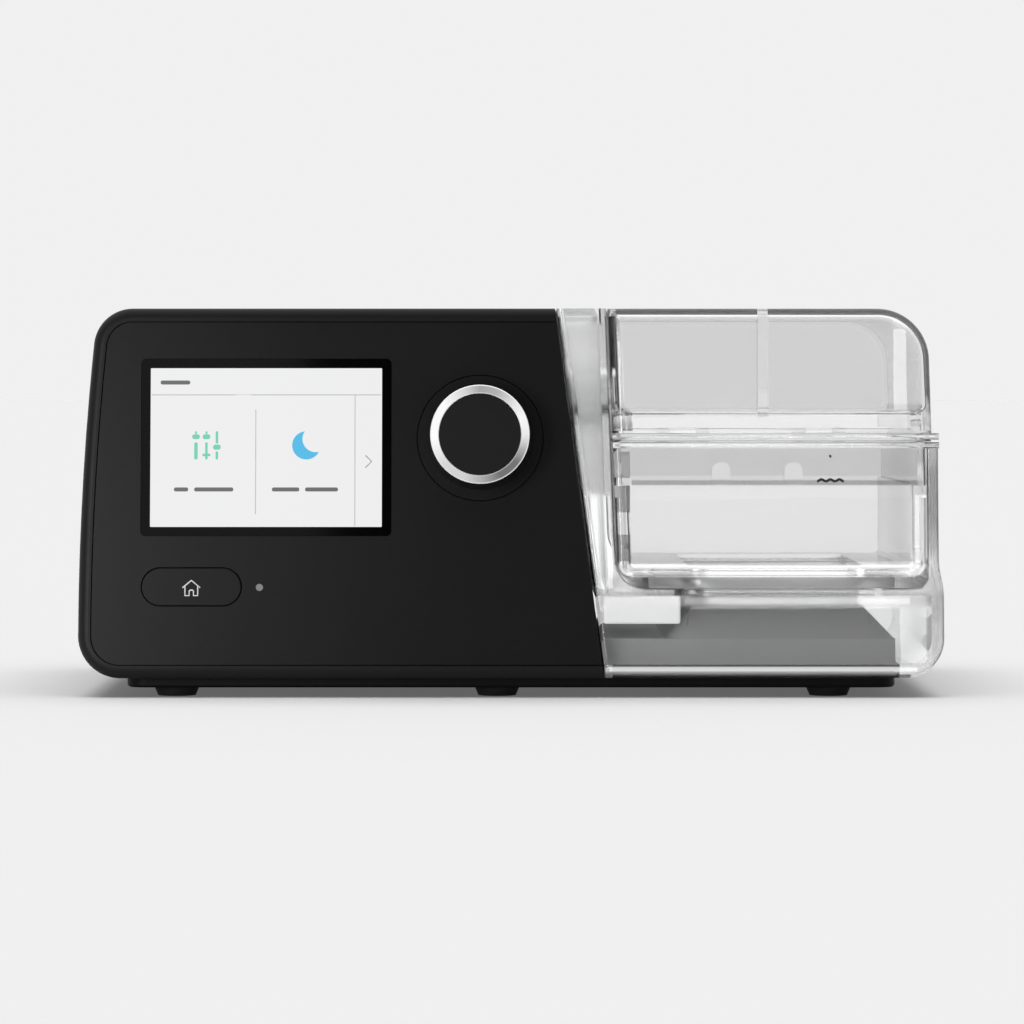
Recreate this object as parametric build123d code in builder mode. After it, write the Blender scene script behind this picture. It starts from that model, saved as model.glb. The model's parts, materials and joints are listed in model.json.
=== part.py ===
from build123d import *
from math import atan2, cos, degrees, radians, sin, tan
import os

# ------------------------------------------------------------------
# driving dimensions, mm.  X runs to the right, Y to the rear, Z up
# ------------------------------------------------------------------

# whole machine
width = 265.0
depth = 180.0
height = 119.0
lean = 6.0                 # the front leans back by this angle
wall = 2.6                 # black housing
fit_gap = 0.2              # between fixed neighbours
move_gap = 0.4             # between pieces that move apart
run_gap = 0.05             # shaft in its hole, on the radius
seat_gap = 0.1             # between clear faces that rest on each other

# feet and base plate
foot_height = 2.8
foot_low_r = 5.8
foot_top_r = 7.0
foot_left_from_left = 29.5
foot_middle_from_left = 128.2
foot_right_from_right = 34.7
foot_front_y = -69.0
foot_rear_y = 48.0
base_thickness = 3.0
base_side_inset = 14.5       # the base plate is this much shorter at each side
base_depth = 140.0
base_centre_y = -8.0
base_corner_r = 6.0
screw_head_r = 2.8
screw_shank_r = 1.4
screw_length = 7.0
screw_inset_x = 22.0
screw_front_y = -50.0
screw_rear_y = 38.0

# outline of the black unit
side_bow = 5.4             # how far the left side has curved in at the top
top_corner_r = 12.0
low_corner_r = 13.0
side_flat = 0.7            # upright stretch above the low corner
slant_top_from_left = 146.0
slant_low_from_left = 161.0
rim_width = 4.0
rim_r = 3.3
rear_corner_r = 5.0
rear_cover_depth = 14.0
cover_lip = 3.0
cover_lip_wall = 1.4

# front panel
panel_setback = 0.3
panel_thickness = 2.4
panel_gap = 0.3
ledge_width = 2.4
ledge_thickness = 2.0
post_r = 2.4

# display
glass_from_left = 57.5
glass_from_top = 42.55       # from the top down to the display's middle
glass_width = 76.6
glass_height = 54.4
glass_corner_r = 1.5
glass_thickness = 1.2
lit_width = 70.9
lit_height = 48.8
bezel_overlap = 2.2        # how far the panel backs the glass
lcd_thickness = 3.4
holder_wall = 1.6

# control board behind the panel
board_thickness = 1.6
control_board_inset = 11.5
control_board_width = 132.0
control_board_from_top = 15.0
control_board_below_button = 10.0
control_board_from_left = 73.5

# turning and pressing knob
knob_from_left = 123.05
knob_rise = 2.85             # above the display's middle
knob_reach = 12.4
knob_base_r = 15.9
knob_skin = 1.7
ring_outer_r = 15.1
ring_inner_r = 12.5
ring_thickness = 1.6
cap_recess = 0.4
cap_thickness = 1.0
knob_bezel_r = 19.3
knob_bezel_thickness = 1.5
knob_press_travel = 0.6
encoder_side = 13.0
encoder_height = 6.4
encoder_shaft_r = 3.0
hub_wall = 1.3

# home button and status light
button_from_left = 34.8
button_drop = 42.6           # below the display's middle
button_width = 31.0
button_height = 12.1
button_flange = 1.4
button_travel = 0.6
switch_side = 6.0
switch_height = 2.4
light_from_left = 55.6
light_drop = 42.75           # below the display's middle
light_r = 1.1

# main board
main_board_z = 16.0
main_board_width = 104.0
main_board_depth = 92.0
main_board_from_left = 60.5
main_board_y = -6.0
main_board_hole_inset = 8.0

# memory card on the left side
card_width = 24.0
card_length = 31.4
card_thickness = 2.1
card_y = -12.0
card_slot_gap = 0.25
socket_wall = 0.8
card_inset = 0.8

# silencer under the blower
silencer_from_left = 48.5
silencer_width = 70.0
silencer_front_y = -34.0
silencer_low_z = 26.0
silencer_height = 27.0
silencer_wall = 2.0
foam_thickness = 8.0

# blower
blower_from_left = 54.5
blower_y = -2.0
volute_r = 33.0
volute_wall = 2.0
volute_height = 24.0
outlet_box_width = 22.0
outlet_reach = 44.0
impeller_r = 26.0
impeller_blades = 9
blade_thickness = 1.2
blade_height = 9.0
blade_sweep = 25.0
disc_thickness = 1.6
inlet_r = 13.0
motor_r = 17.0
motor_height = 18.0
shaft_r = 2.0
mount_r = 4.5
mount_height = 4.0
mount_circle_r = 25.0
duct_wall = 1.5
spigot_length = 8.0

# air ports in the slanted wall
port_z = 92.0
port_r = 8.0
port_wall = 1.2
return_port_y = 30.0

# rear fittings
outlet_from_left = 125.5
outlet_r = 11.0
outlet_bore_r = 9.2
outlet_length = 22.0
outlet_flange = 3.0
outlet_shoulder = 1.0        # the shoulder in the cover's hole, on the radius
outlet_shoulder_reach = 0.5  # the shoulder stands this proud of the cover
outlet_flange_thickness = 2.0
filter_from_left = 48.5
filter_z = 41.0
filter_width = 54.0
filter_height = 26.0
filter_thickness = 6.0
filter_cover_margin = 4.0
cover_thickness = 2.4
cover_pin_r = 0.8
seat_corner_r = 0.8
cover_pin_length = 1.6
slot_count = 9
slot_width = 2.6
inlet_from_left = 102.5
inlet_z = 22.0
inlet_width = 12.0
inlet_height = 8.0
inlet_depth = 12.0
inlet_wall = 1.6
pin_length = 4.0

# clear water chamber
clear_wall = 2.4
dock_gap = 0.5
seam_gap = 0.6
seam_top_from_left = 161.9
seam_low_from_left = 165.0
skirt_gap = 0.3
side_inset = 1.5           # the side above the flare
flare_low_z = 29.7
flare_top_z = 43.2
skirt_rim = 3.9            # thick lower rim of the skirt
skirt_rim_depth = 3.6
skirt_corner_r = 12.0
deck_top_z = 33.4
deck_thickness = 2.4
inner_corner_r = 9.0
strip_width = 3.6
tub_setback = 0.6
tub_low_z = 36.6
tub_wall = 2.4
tub_corner_r = 4.0
tub_inner_r = 1.6
rim_low_z = 76.1
flange_thickness = 1.9
flange_proud = 1.2
seal_thickness = 0.5
seal_width = 2.0
lip_low_z = 61.0
lip_height = 3.7
lip_proud = 0.6
step_in = 1.2              # the tub is this much thicker below its lip
lug_left_from_right = 68.1
lug_right_from_right = 45.9
lug_width = 5.6
lug_height = 7.0
lug_depth = 3.0
lug_corner_r = 2.4
block_right_from_left = 168.9 # blocks on the tub's left wall, by its front
block_depth = 9.0
block_heights = ((41.7, 49.7), (56.6, 64.6), (67.0, 75.0))
lid_low_z = 80.7
lid_side_inset = 3.3         # from the whole width to the lid's side
lid_lean_in = 1.0          # how far the lid's right side leans in at the top
lid_corner_r = 16.0
lid_edge_r = 4.0           # rounding round the front and rear faces
lid_inner_r = 1.6
cradle_edge_r = 1.5
skirt_edge_r = 2.6         # front edge of the skirt's bottom and right side
cradle_inner_r = 0.8       # front edge along the deck and the seam
tub_edge_r = 2.0
tub_hollow_r = 1.0
flange_edge_r = 0.7
shelf_z = 81.4             # frame inside the lid, under its window
shelf_thickness = 4.8
shelf_width = 4.0
lid_window_r = 3.2         # lower corners of the lid's window
lid_rib_from_right = 55.1
lid_rib_width = 3.2
lid_rib_depth = 10.0
hinge_pin_r = 1.5
knuckle_r = 2.6
knuckle_length = 9.0
hinge_left_from_left = 190.5
hinge_right_from_right = 28.5
hinge_reach = 3.0
ear_length = 4.0

# heater under the chamber
heater_side_inset = 14.5     # from the whole width to the heater's side
heater_slab_z = 17.5
heater_front_inset = 9.0
heater_rear_inset = 10.0
heater_step_from_left = 179.5
heater_top_z = 27.3
heater_slope = 9.5
heater_top_margin = 0.5    # from the slope's top to the metal plate
heater_plate_thickness = 3.4
heater_plate_margin = 3.0
plate_gap = 0.3
tray_thickness = 1.5
tray_margin = 5.0
tray_corner_r = 8.0
tray_seal_thickness = 1.0

# translucent catch behind the skirt, under the deck
catch_left_from_left = 160.7
catch_right_from_left = 184.3
catch_low_z = 22.4
catch_depth = 6.0
catch_edge_r = 0.8

# ------------------------------------------------------------------
# places worked out from the dimensions
# ------------------------------------------------------------------

half_width = width / 2
foot_middle_x = foot_middle_from_left - half_width
slant_top_x = slant_top_from_left - half_width
slant_low_x = slant_low_from_left - half_width
glass_x = glass_from_left - half_width
control_board_x = control_board_from_left - half_width
knob_x = knob_from_left - half_width
button_x = button_from_left - half_width
light_x = light_from_left - half_width
main_board_x = main_board_from_left - half_width
silencer_x = silencer_from_left - half_width
blower_x = blower_from_left - half_width
outlet_x = outlet_from_left - half_width
filter_x = filter_from_left - half_width
inlet_x = inlet_from_left - half_width
seam_top_x = seam_top_from_left - half_width
seam_low_x = seam_low_from_left - half_width
block_right_x = block_right_from_left - half_width
hinge_left_x = hinge_left_from_left - half_width
heater_step_x = heater_step_from_left - half_width
catch_left_x = catch_left_from_left - half_width
catch_right_x = catch_right_from_left - half_width
foot_left_x = foot_left_from_left - half_width
foot_right_x = half_width - foot_right_from_right
lug_left_x = half_width - lug_left_from_right
lug_right_x = half_width - lug_right_from_right
lid_rib_x = half_width - lid_rib_from_right
hinge_right_x = half_width - hinge_right_from_right
base_length = width - 2 * base_side_inset
heater_right_x = half_width - heater_side_inset
lid_right_x = half_width - lid_side_inset
hinge_columns = (hinge_left_x, hinge_right_x)
glass_z = height - glass_from_top
knob_z = glass_z + knob_rise
button_z = glass_z - button_drop
light_z = glass_z - light_drop
control_board_low_z = button_z - control_board_below_button
control_board_top_z = height - control_board_from_top
control_board_height = control_board_top_z - control_board_low_z
control_board_z = (control_board_top_z + control_board_low_z) / 2
body_low_z = foot_height + base_thickness
lean_rise = tan(radians(lean))
face_normal = (0, -cos(radians(lean)), sin(radians(lean)))
face_low_y = (
    -depth / 2
    - (knob_z - body_low_z) * lean_rise
    + (knob_reach - panel_setback) * cos(radians(lean))
    + (ring_outer_r - fit_gap) * sin(radians(lean))
)
rear_y = depth / 2 - outlet_length
split_y = rear_y - rear_cover_depth
face = Plane(origin=(0, face_low_y, body_low_z), x_dir=(1, 0, 0), z_dir=face_normal)
recess_depth = panel_setback + panel_thickness
hollow_inset = recess_depth + ledge_thickness
belly_z = body_low_z + low_corner_r + side_flat
supply_port_y = blower_y - volute_r + outlet_box_width / 2
beyond = 40.0              # how far cutters run past what they cut


def up_face(z):
    # distance up the leaning face to height z
    return (z - body_low_z) / cos(radians(lean))


def face_y(z):
    return face_low_y + (z - body_low_z) * lean_rise


def slant_x(z):
    share = (z - body_low_z) / (height - body_low_z)
    return slant_low_x + (slant_top_x - slant_low_x) * share


def seam_x(z):
    share = (z - deck_top_z) / (height - deck_top_z)
    return seam_low_x + (seam_top_x - seam_low_x) * share


def left_of_slant(shift):
    # everything left of the slanted wall moved right by shift
    low_z = -beyond
    top_z = height + beyond
    with BuildSketch() as region:
        with BuildLine():
            Polyline(
                (-width, low_z),
                (slant_x(low_z) + shift, low_z),
                (slant_x(top_z) + shift, top_z),
                (-width, top_z),
                close=True,
            )
        make_face()
    return region.sketch


def unit_face(inset, slant_shift):
    # front outline of the black unit, moved in by inset, up to the shifted slant
    region = left_of_slant(slant_shift)
    with BuildSketch() as outline:
        with BuildLine():
            side = TangentArc((-half_width, belly_z), (side_bow - half_width, height), tangent=(0, 1))
            Polyline(
                side @ 1,
                (slant_low_x + beyond, height),
                (slant_low_x + beyond, body_low_z),
                (-half_width, body_low_z),
                side @ 0,
            )
        make_face()
        fillet(outline.vertices().sort_by_distance((-half_width, height))[0], radius=top_corner_r)
        fillet(outline.vertices().sort_by_distance((-half_width, body_low_z))[0], radius=low_corner_r)
        if inset:
            offset(amount=-inset)
        add(region, mode=Mode.INTERSECT)
    return outline.sketch


def run_back(profile, near, back_y):
    # profile run along Y from the leaning face moved in by near, to back_y
    with BuildPart() as run:
        with BuildSketch(Plane.XZ.offset(-back_y)):
            add(profile)
        extrude(amount=back_y + depth)
        split(bisect_by=face.offset(-near), keep=Keep.BOTTOM)
    return run.part


def faces_front(side):
    return abs(side.normal_at().dot(Vector(face_normal)) - 1) < 1e-6


def leaning_edges(piece, wanted):
    # edges round the leaning face that the test picks
    return piece.faces().filter_by(faces_front).edges().filter_by(wanted)


def front_and_rear(piece):
    # edges round the leaning face and the rear face of a run
    return piece.faces().filter_by(faces_front).edges() + piece.faces().sort_by(Axis.Y)[-1].edges()


def leaning_plate(profile, near, far):
    # slice of the profile between two insets from the leaning face
    with BuildPart() as plate:
        add(run_back(profile, near, rear_y))
        split(bisect_by=face.offset(-far), keep=Keep.TOP)
    return plate.part


def save(piece, name):
    piece.label = name
    export_step(piece, f"parts/{name}.step")


def on_face(inset):
    # sketch plane parallel to the leaning face, this far behind it
    return face.offset(-inset)


os.makedirs("parts", exist_ok=True)

# ------------------------------------------------------------------
# base plate, feet and screws
# ------------------------------------------------------------------

foot_columns = (foot_left_x, foot_middle_x, foot_right_x)
foot_places = [(x, y) for x in foot_columns for y in (foot_front_y, foot_rear_y)]
screw_columns = (screw_inset_x - half_width, slant_low_x - screw_inset_x)
screw_places = [(x, y) for x in screw_columns for y in (screw_front_y, screw_rear_y)]
floor_z = body_low_z + wall

with BuildPart() as base_plate:
    with BuildSketch(Plane.XY.offset(foot_height)):
        with Locations((0, base_centre_y)):
            RectangleRounded(base_length, base_depth, base_corner_r)
    extrude(amount=base_thickness)
    chamfer(base_plate.faces().sort_by(Axis.Z)[0].edges(), length=wall / 4)
    with BuildSketch(Plane.XY.offset(foot_height)) as shank_holes:
        with Locations(screw_places):
            Circle(screw_shank_r + run_gap)
    extrude(amount=base_thickness, mode=Mode.SUBTRACT)
    with BuildSketch(Plane.XY.offset(foot_height)) as head_holes:
        with Locations(screw_places):
            Circle(screw_head_r + run_gap)
    extrude(amount=base_thickness / 2, mode=Mode.SUBTRACT)
save(base_plate.part, "base_plate")

with BuildPart() as rubber_feet:
    with Locations([(x, y, 0) for x, y in foot_places]):
        Cone(foot_low_r, foot_top_r, foot_height, align=(Align.CENTER, Align.CENTER, Align.MIN))
save(rubber_feet.part, "rubber_feet")

with BuildPart() as base_screws:
    with BuildSketch(Plane.XY.offset(foot_height)):
        with Locations(screw_places):
            Circle(screw_head_r)
    extrude(amount=base_thickness / 2)
    with BuildSketch(Plane.XY.offset(foot_height)):
        with Locations(screw_places):
            Circle(screw_shank_r)
    extrude(amount=screw_length)
    with BuildSketch(Plane.XY.offset(foot_height)):
        with Locations(screw_places):
            Rectangle(2 * screw_shank_r, wall / 4)
            Rectangle(wall / 4, 2 * screw_shank_r)
    extrude(amount=base_thickness / 4, mode=Mode.SUBTRACT)
save(base_screws.part, "base_screws")

# ------------------------------------------------------------------
# black housing: the long shell with its rounded front rim
# ------------------------------------------------------------------

port_places = [(supply_port_y, port_z), (return_port_y, port_z)]
duct_r = port_r + duct_wall
port_start_x = slant_x(port_z) - duct_r
card_z = main_board_z + board_thickness + socket_wall + card_slot_gap + card_thickness / 2
silencer_cover_z = silencer_low_z + silencer_height
volute_low_z = silencer_cover_z + silencer_wall + mount_height
housing_outer = run_back(unit_face(0, 0), 0, split_y)
housing_hollow = run_back(unit_face(wall, -wall), hollow_inset, rear_y)
panel_recess = leaning_plate(unit_face(rim_width, beyond), -beyond, recess_depth)
ledge_opening = leaning_plate(
    unit_face(rim_width + ledge_width, -wall - ledge_width), recess_depth / 2, hollow_inset + ledge_thickness
)

with BuildPart() as main_housing:
    add(housing_outer)
    rim = main_housing.faces().filter_by(faces_front)
    rim_edges = rim.edges().filter_by(lambda edge: edge.center().X < slant_top_x / 2)
    fillet(rim_edges, radius=rim_r)
    add(housing_hollow, mode=Mode.SUBTRACT)
    add(panel_recess, mode=Mode.SUBTRACT)
    add(ledge_opening, mode=Mode.SUBTRACT)
    # air ports through the slanted wall
    with BuildSketch(Plane.YZ.offset(port_start_x)):
        with Locations(port_places):
            Circle(duct_r + run_gap)
    extrude(amount=half_width, mode=Mode.SUBTRACT)
    # card slot through the left wall
    with BuildSketch(Plane.YZ.offset(-half_width - wall)):
        with Locations((card_y, card_z)):
            Rectangle(card_width + 2 * card_slot_gap, card_thickness + 2 * card_slot_gap)
    extrude(amount=3 * wall, mode=Mode.SUBTRACT)
    # bosses for the base screws
    with BuildSketch(Plane.XY.offset(floor_z)):
        with Locations(screw_places):
            Circle(post_r)
    extrude(amount=screw_length - base_thickness)
    with BuildSketch(Plane.XY.offset(body_low_z)):
        with Locations(screw_places):
            Circle(screw_shank_r + run_gap)
    extrude(amount=screw_length - base_thickness + run_gap, mode=Mode.SUBTRACT)
save(main_housing.part, "main_housing")

# ------------------------------------------------------------------
# rear cover with the filter pocket, socket hole and hose hole
# ------------------------------------------------------------------

cover_wide = filter_width + 2 * filter_cover_margin
cover_high = filter_height + 2 * filter_cover_margin
cover_low_z = filter_z - cover_high / 2
pocket_y = rear_y - cover_thickness - move_gap - filter_thickness
cover_axis_y = rear_y - cover_thickness / 2
cover_axis_z = cover_low_z + cover_thickness / 2 + move_gap
cover_top_z = cover_low_z + cover_high - move_gap
seat_y = rear_y - cover_thickness - move_gap
inlet_back_y = rear_y - inlet_depth


def upright_plate(profile, front_y, back_y):
    # XZ profile run along Y between two upright planes
    with BuildPart() as plate:
        with BuildSketch(Plane.XZ.offset(-back_y)):
            add(profile)
        extrude(amount=back_y - front_y)
    return plate.part


def cross_profile(places, shape_width, shape_height, corner_r):
    # rounded rectangles in the XZ plane
    with BuildSketch() as profile:
        with Locations(places):
            RectangleRounded(shape_width, shape_height, corner_r)
    return profile.sketch


rear_outer = upright_plate(unit_face(0, 0), split_y, rear_y)
rear_hollow = upright_plate(unit_face(wall, -wall), split_y - wall, rear_y - wall)
lip_inset = wall + fit_gap
lip_outer = upright_plate(unit_face(lip_inset, -lip_inset), split_y - cover_lip, split_y)
lip_inner = upright_plate(
    unit_face(lip_inset + cover_lip_wall, -lip_inset - cover_lip_wall), split_y - 2 * cover_lip, rear_y - wall
)
lip_root = upright_plate(unit_face(wall, -wall), split_y, split_y + cover_lip_wall)
pocket_outer = upright_plate(
    cross_profile(
        [(filter_x, filter_z)], filter_width + 2 * duct_wall, filter_height + 2 * duct_wall, 3 * duct_wall
    ),
    pocket_y - duct_wall,
    rear_y - wall,
)
pocket_inner = upright_plate(
    cross_profile([(filter_x, filter_z)], filter_width, filter_height, 2 * duct_wall), pocket_y, rear_y
)
pocket_window = upright_plate(
    cross_profile(
        [(filter_x, filter_z)], filter_width - 4 * duct_wall, filter_height - 4 * duct_wall, duct_wall
    ),
    pocket_y - 2 * duct_wall,
    rear_y,
)
cover_seat = upright_plate(
    cross_profile([(filter_x, filter_z)], cover_wide, cover_high, seat_corner_r),
    seat_y,
    rear_y + wall,
)
seat_backing = upright_plate(
    cross_profile([(filter_x, filter_z)], cover_wide + 2 * wall, cover_high + 2 * wall, filter_cover_margin),
    seat_y - duct_wall,
    rear_y - wall,
)

with BuildPart() as rear_cover:
    add(rear_outer)
    back = rear_cover.faces().sort_by(Axis.Y)[-1]
    fillet(back.edges().filter_by(lambda edge: edge.center().X < slant_top_x / 2), radius=rear_corner_r)
    add(rear_hollow, mode=Mode.SUBTRACT)
    add(lip_root)
    add(lip_outer)
    add(lip_inner, mode=Mode.SUBTRACT)
    add(seat_backing)
    add(pocket_outer)
    add(pocket_inner, mode=Mode.SUBTRACT)
    add(pocket_window, mode=Mode.SUBTRACT)
    add(cover_seat, mode=Mode.SUBTRACT)
    with BuildSketch(Plane.XZ.offset(-rear_y - wall)):
        with Locations((outlet_x, port_z)):
            Circle(outlet_r + outlet_shoulder + run_gap)
        with Locations((inlet_x, inlet_z)):
            Rectangle(inlet_width + 2 * inlet_wall + fit_gap, inlet_height + 2 * inlet_wall + fit_gap)
    extrude(amount=3 * wall, mode=Mode.SUBTRACT)
    # journals of the filter cover
    with BuildSketch(Plane.YZ.offset(filter_x - cover_wide / 2 - cover_pin_length)):
        with Locations((cover_axis_y, cover_axis_z)):
            Circle(cover_pin_r + run_gap)
    extrude(amount=cover_wide + 2 * cover_pin_length, mode=Mode.SUBTRACT)
save(rear_cover.part, "rear_cover")

# ------------------------------------------------------------------
# front panel and what is set into it
# ------------------------------------------------------------------

panel_back = recess_depth
glass_place = (glass_x, up_face(glass_z))
knob_place = (knob_x, up_face(knob_z))
button_place = (button_x, up_face(button_z))
light_place = (light_x, up_face(light_z))
board_place = (control_board_x, up_face(control_board_z))
board_post_x = control_board_width / 2 - 2 * post_r
board_post_z = control_board_height / 2 - 2 * post_r
board_posts = [
    (board_place[0] + side * board_post_x, board_place[1] + rise * board_post_z)
    for side in (-1, 1)
    for rise in (-1, 1)
]
knob_pocket_depth = knob_bezel_thickness + fit_gap
hub_r = encoder_shaft_r + hub_wall
panel_blank = leaning_plate(unit_face(rim_width + panel_gap, 0), panel_setback, panel_back)


def cut_depth(inset):
    return panel_setback + inset


with BuildPart() as front_panel:
    add(panel_blank)
    # glass pocket and the window behind it
    with BuildSketch(on_face(0)):
        with Locations(glass_place):
            RectangleRounded(glass_width + fit_gap, glass_height + fit_gap, glass_corner_r + fit_gap / 2)
    extrude(amount=-cut_depth(glass_thickness), mode=Mode.SUBTRACT)
    with BuildSketch(on_face(0)):
        with Locations(glass_place):
            Rectangle(glass_width - 2 * bezel_overlap, glass_height - 2 * bezel_overlap)
    extrude(amount=-2 * panel_back, mode=Mode.SUBTRACT)
    # knob pocket and shaft hole
    with BuildSketch(on_face(0)):
        with Locations(knob_place):
            Circle(knob_bezel_r + fit_gap)
    extrude(amount=-cut_depth(knob_pocket_depth), mode=Mode.SUBTRACT)
    with BuildSketch(on_face(0)):
        with Locations(knob_place):
            Circle(hub_r + move_gap)
        with Locations(button_place):
            SlotOverall(button_width, button_height)
        with Locations(light_place):
            Circle(light_r + run_gap)
    extrude(amount=-2 * panel_back, mode=Mode.SUBTRACT)
    # posts that carry the control board
    with BuildSketch(on_face(panel_back)):
        with Locations(board_posts):
            Circle(post_r)
    extrude(amount=panel_back - control_board_inset)
save(front_panel.part, "front_panel")

with BuildPart() as knob_bezel:
    with BuildSketch(on_face(panel_setback + knob_bezel_thickness)):
        with Locations(knob_place):
            Circle(knob_bezel_r)
            Circle(encoder_shaft_r + 2 * move_gap, mode=Mode.SUBTRACT)
    extrude(amount=knob_bezel_thickness)
    front_rim = knob_bezel.faces().sort_by(Axis.Y)[0].edges().sort_by(SortBy.RADIUS)[-1]
    chamfer(front_rim, length=fit_gap)
save(knob_bezel.part, "knob_bezel")

with BuildPart() as display_glass:
    with BuildSketch(on_face(cut_depth(glass_thickness))):
        with Locations(glass_place):
            RectangleRounded(glass_width, glass_height, glass_corner_r)
    extrude(amount=glass_thickness)
save(display_glass.part, "display_glass")

lcd_width = glass_width + 2 * bezel_overlap
lcd_height = glass_height + 2 * bezel_overlap
lcd_back = panel_back + lcd_thickness

with BuildPart() as lcd_panel:
    with BuildSketch(on_face(lcd_back)):
        with Locations(glass_place):
            Rectangle(lcd_width, lcd_height)
    extrude(amount=lcd_thickness)
    with BuildSketch(on_face(panel_back)):
        with Locations(glass_place):
            Rectangle(lit_width, lit_height)
    extrude(amount=panel_back - cut_depth(glass_thickness) - run_gap)
save(lcd_panel.part, "lcd_panel")

holder_back = lcd_back + holder_wall

with BuildPart() as display_holder:
    with BuildSketch(on_face(holder_back)):
        with Locations(glass_place):
            Rectangle(lcd_width + 2 * holder_wall + fit_gap, lcd_height + 2 * holder_wall + fit_gap)
    extrude(amount=holder_back - panel_back)
    with BuildSketch(on_face(lcd_back)):
        with Locations(glass_place):
            Rectangle(lcd_width + fit_gap, lcd_height + fit_gap)
    extrude(amount=lcd_thickness, mode=Mode.SUBTRACT)
    with BuildSketch(on_face(holder_back)):
        with Locations(glass_place):
            Rectangle(lcd_width / 2, lcd_height / 2)
    extrude(amount=holder_wall, mode=Mode.SUBTRACT)
save(display_holder.part, "display_holder")

with BuildPart() as control_board:
    with BuildSketch(on_face(control_board_inset + board_thickness)):
        with Locations(board_place):
            Rectangle(control_board_width, control_board_height)
    extrude(amount=board_thickness)
save(control_board.part, "control_board")

# ------------------------------------------------------------------
# knob: it turns on the encoder shaft and presses in with it
# ------------------------------------------------------------------

knob_low = knob_press_travel + move_gap
ring_low = knob_reach - ring_thickness
cap_high = knob_reach - cap_recess
cap_low = cap_high - cap_thickness
shaft_top = ring_low - knob_skin - knob_skin
encoder_front = control_board_inset - encoder_height
plunger_thickness = 1.2
plunger_front = encoder_front + 2 * plunger_thickness
shaft_back = plunger_front - move_gap / 2
knob_centre = face.offset(-panel_setback).from_local_coords((knob_place[0], knob_place[1], 0))
knob_axis = Axis(knob_centre, face_normal)
knob_section = Plane(
    origin=knob_centre,
    x_dir=(1, 0, 0),
    z_dir=(0, -sin(radians(lean)), -cos(radians(lean))),
)

with BuildPart() as knob_body:
    with BuildSketch(knob_section):
        with BuildLine():
            Polyline(
                (0, cap_low),
                (ring_inner_r, cap_low),
                (ring_inner_r, ring_low),
                (ring_outer_r, ring_low),
                (knob_base_r, knob_low),
                (knob_base_r - knob_skin, knob_low),
                (ring_outer_r - knob_skin, ring_low - knob_skin),
                (hub_r, ring_low - knob_skin),
                (hub_r, 2 * knob_low),
                (encoder_shaft_r, 2 * knob_low),
                (encoder_shaft_r, shaft_top),
                (0, shaft_top),
                close=True,
            )
        make_face()
    revolve(axis=knob_axis)
save(knob_body.part, "knob_body")

with BuildPart() as knob_ring:
    with BuildSketch(knob_section):
        with BuildLine():
            Polyline(
                (ring_inner_r, ring_low),
                (ring_outer_r, ring_low),
                (ring_outer_r, knob_reach - fit_gap),
                (ring_outer_r - fit_gap, knob_reach),
                (ring_inner_r + fit_gap, knob_reach),
                (ring_inner_r, knob_reach - fit_gap),
                close=True,
            )
        make_face()
    revolve(axis=knob_axis)
save(knob_ring.part, "knob_ring")

with BuildPart() as knob_cap:
    with BuildSketch(on_face(panel_setback - cap_low)):
        with Locations(knob_place):
            Circle(ring_inner_r - run_gap)
    extrude(amount=cap_thickness)
save(knob_cap.part, "knob_cap")

with BuildPart() as encoder_shaft:
    with BuildSketch(on_face(panel_setback + shaft_back)):
        with Locations(knob_place):
            Circle(encoder_shaft_r)
    extrude(amount=shaft_back + shaft_top)
save(encoder_shaft.part, "encoder_shaft")

plunger_r = encoder_side / 2 - 2 * socket_wall

with BuildPart() as encoder_plunger:
    with BuildSketch(on_face(panel_setback + plunger_front + plunger_thickness)):
        with Locations(knob_place):
            Circle(plunger_r)
    extrude(amount=plunger_thickness)
save(encoder_plunger.part, "encoder_plunger")

with BuildPart() as encoder_body:
    with BuildSketch(on_face(control_board_inset)):
        with Locations(knob_place):
            RectangleRounded(encoder_side, encoder_side, socket_wall)
    extrude(amount=encoder_height - panel_setback)
    with BuildSketch(on_face(panel_setback + encoder_front + socket_wall)):
        with Locations(knob_place):
            Circle(plunger_r + run_gap)
    extrude(amount=socket_wall + panel_setback - encoder_height, mode=Mode.SUBTRACT)
    with BuildSketch(on_face(control_board_inset)):
        with Locations(knob_place):
            Circle(encoder_shaft_r + run_gap)
    extrude(amount=encoder_height, mode=Mode.SUBTRACT)
save(encoder_body.part, "encoder_body")

# ------------------------------------------------------------------
# home button, its switch, and the status light
# ------------------------------------------------------------------

flange_front = panel_back + move_gap / 2
flange_back = flange_front + ledge_thickness / 2
switch_front = control_board_inset - switch_height
stem_back = switch_front - button_travel - run_gap

with BuildPart() as home_button:
    with BuildSketch(on_face(flange_back)):
        with Locations(button_place):
            SlotOverall(button_width + 2 * button_flange, button_height + 2 * button_flange)
    extrude(amount=flange_back - flange_front)
    with BuildSketch(on_face(flange_front)):
        with Locations(button_place):
            SlotOverall(button_width - 2 * panel_gap, button_height - 2 * panel_gap)
    extrude(amount=flange_front - panel_setback)
    front_edges = home_button.faces().sort_by(Axis.Y)[0].edges()
    fillet(front_edges, radius=panel_gap)
    with BuildSketch(on_face(flange_back)):
        with Locations(button_place):
            Circle(post_r)
    extrude(amount=flange_back - stem_back)
save(home_button.part, "home_button")

with BuildPart() as home_switch:
    with BuildSketch(on_face(control_board_inset)):
        with Locations(button_place):
            Rectangle(switch_side, switch_side)
    extrude(amount=switch_height)
save(home_switch.part, "home_switch")

with BuildPart() as status_light:
    with BuildSketch(on_face(control_board_inset)):
        with Locations(light_place):
            Circle(light_r)
    extrude(amount=control_board_inset - panel_setback)
save(status_light.part, "status_light")

# ------------------------------------------------------------------
# main board, card and power socket
# ------------------------------------------------------------------

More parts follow.
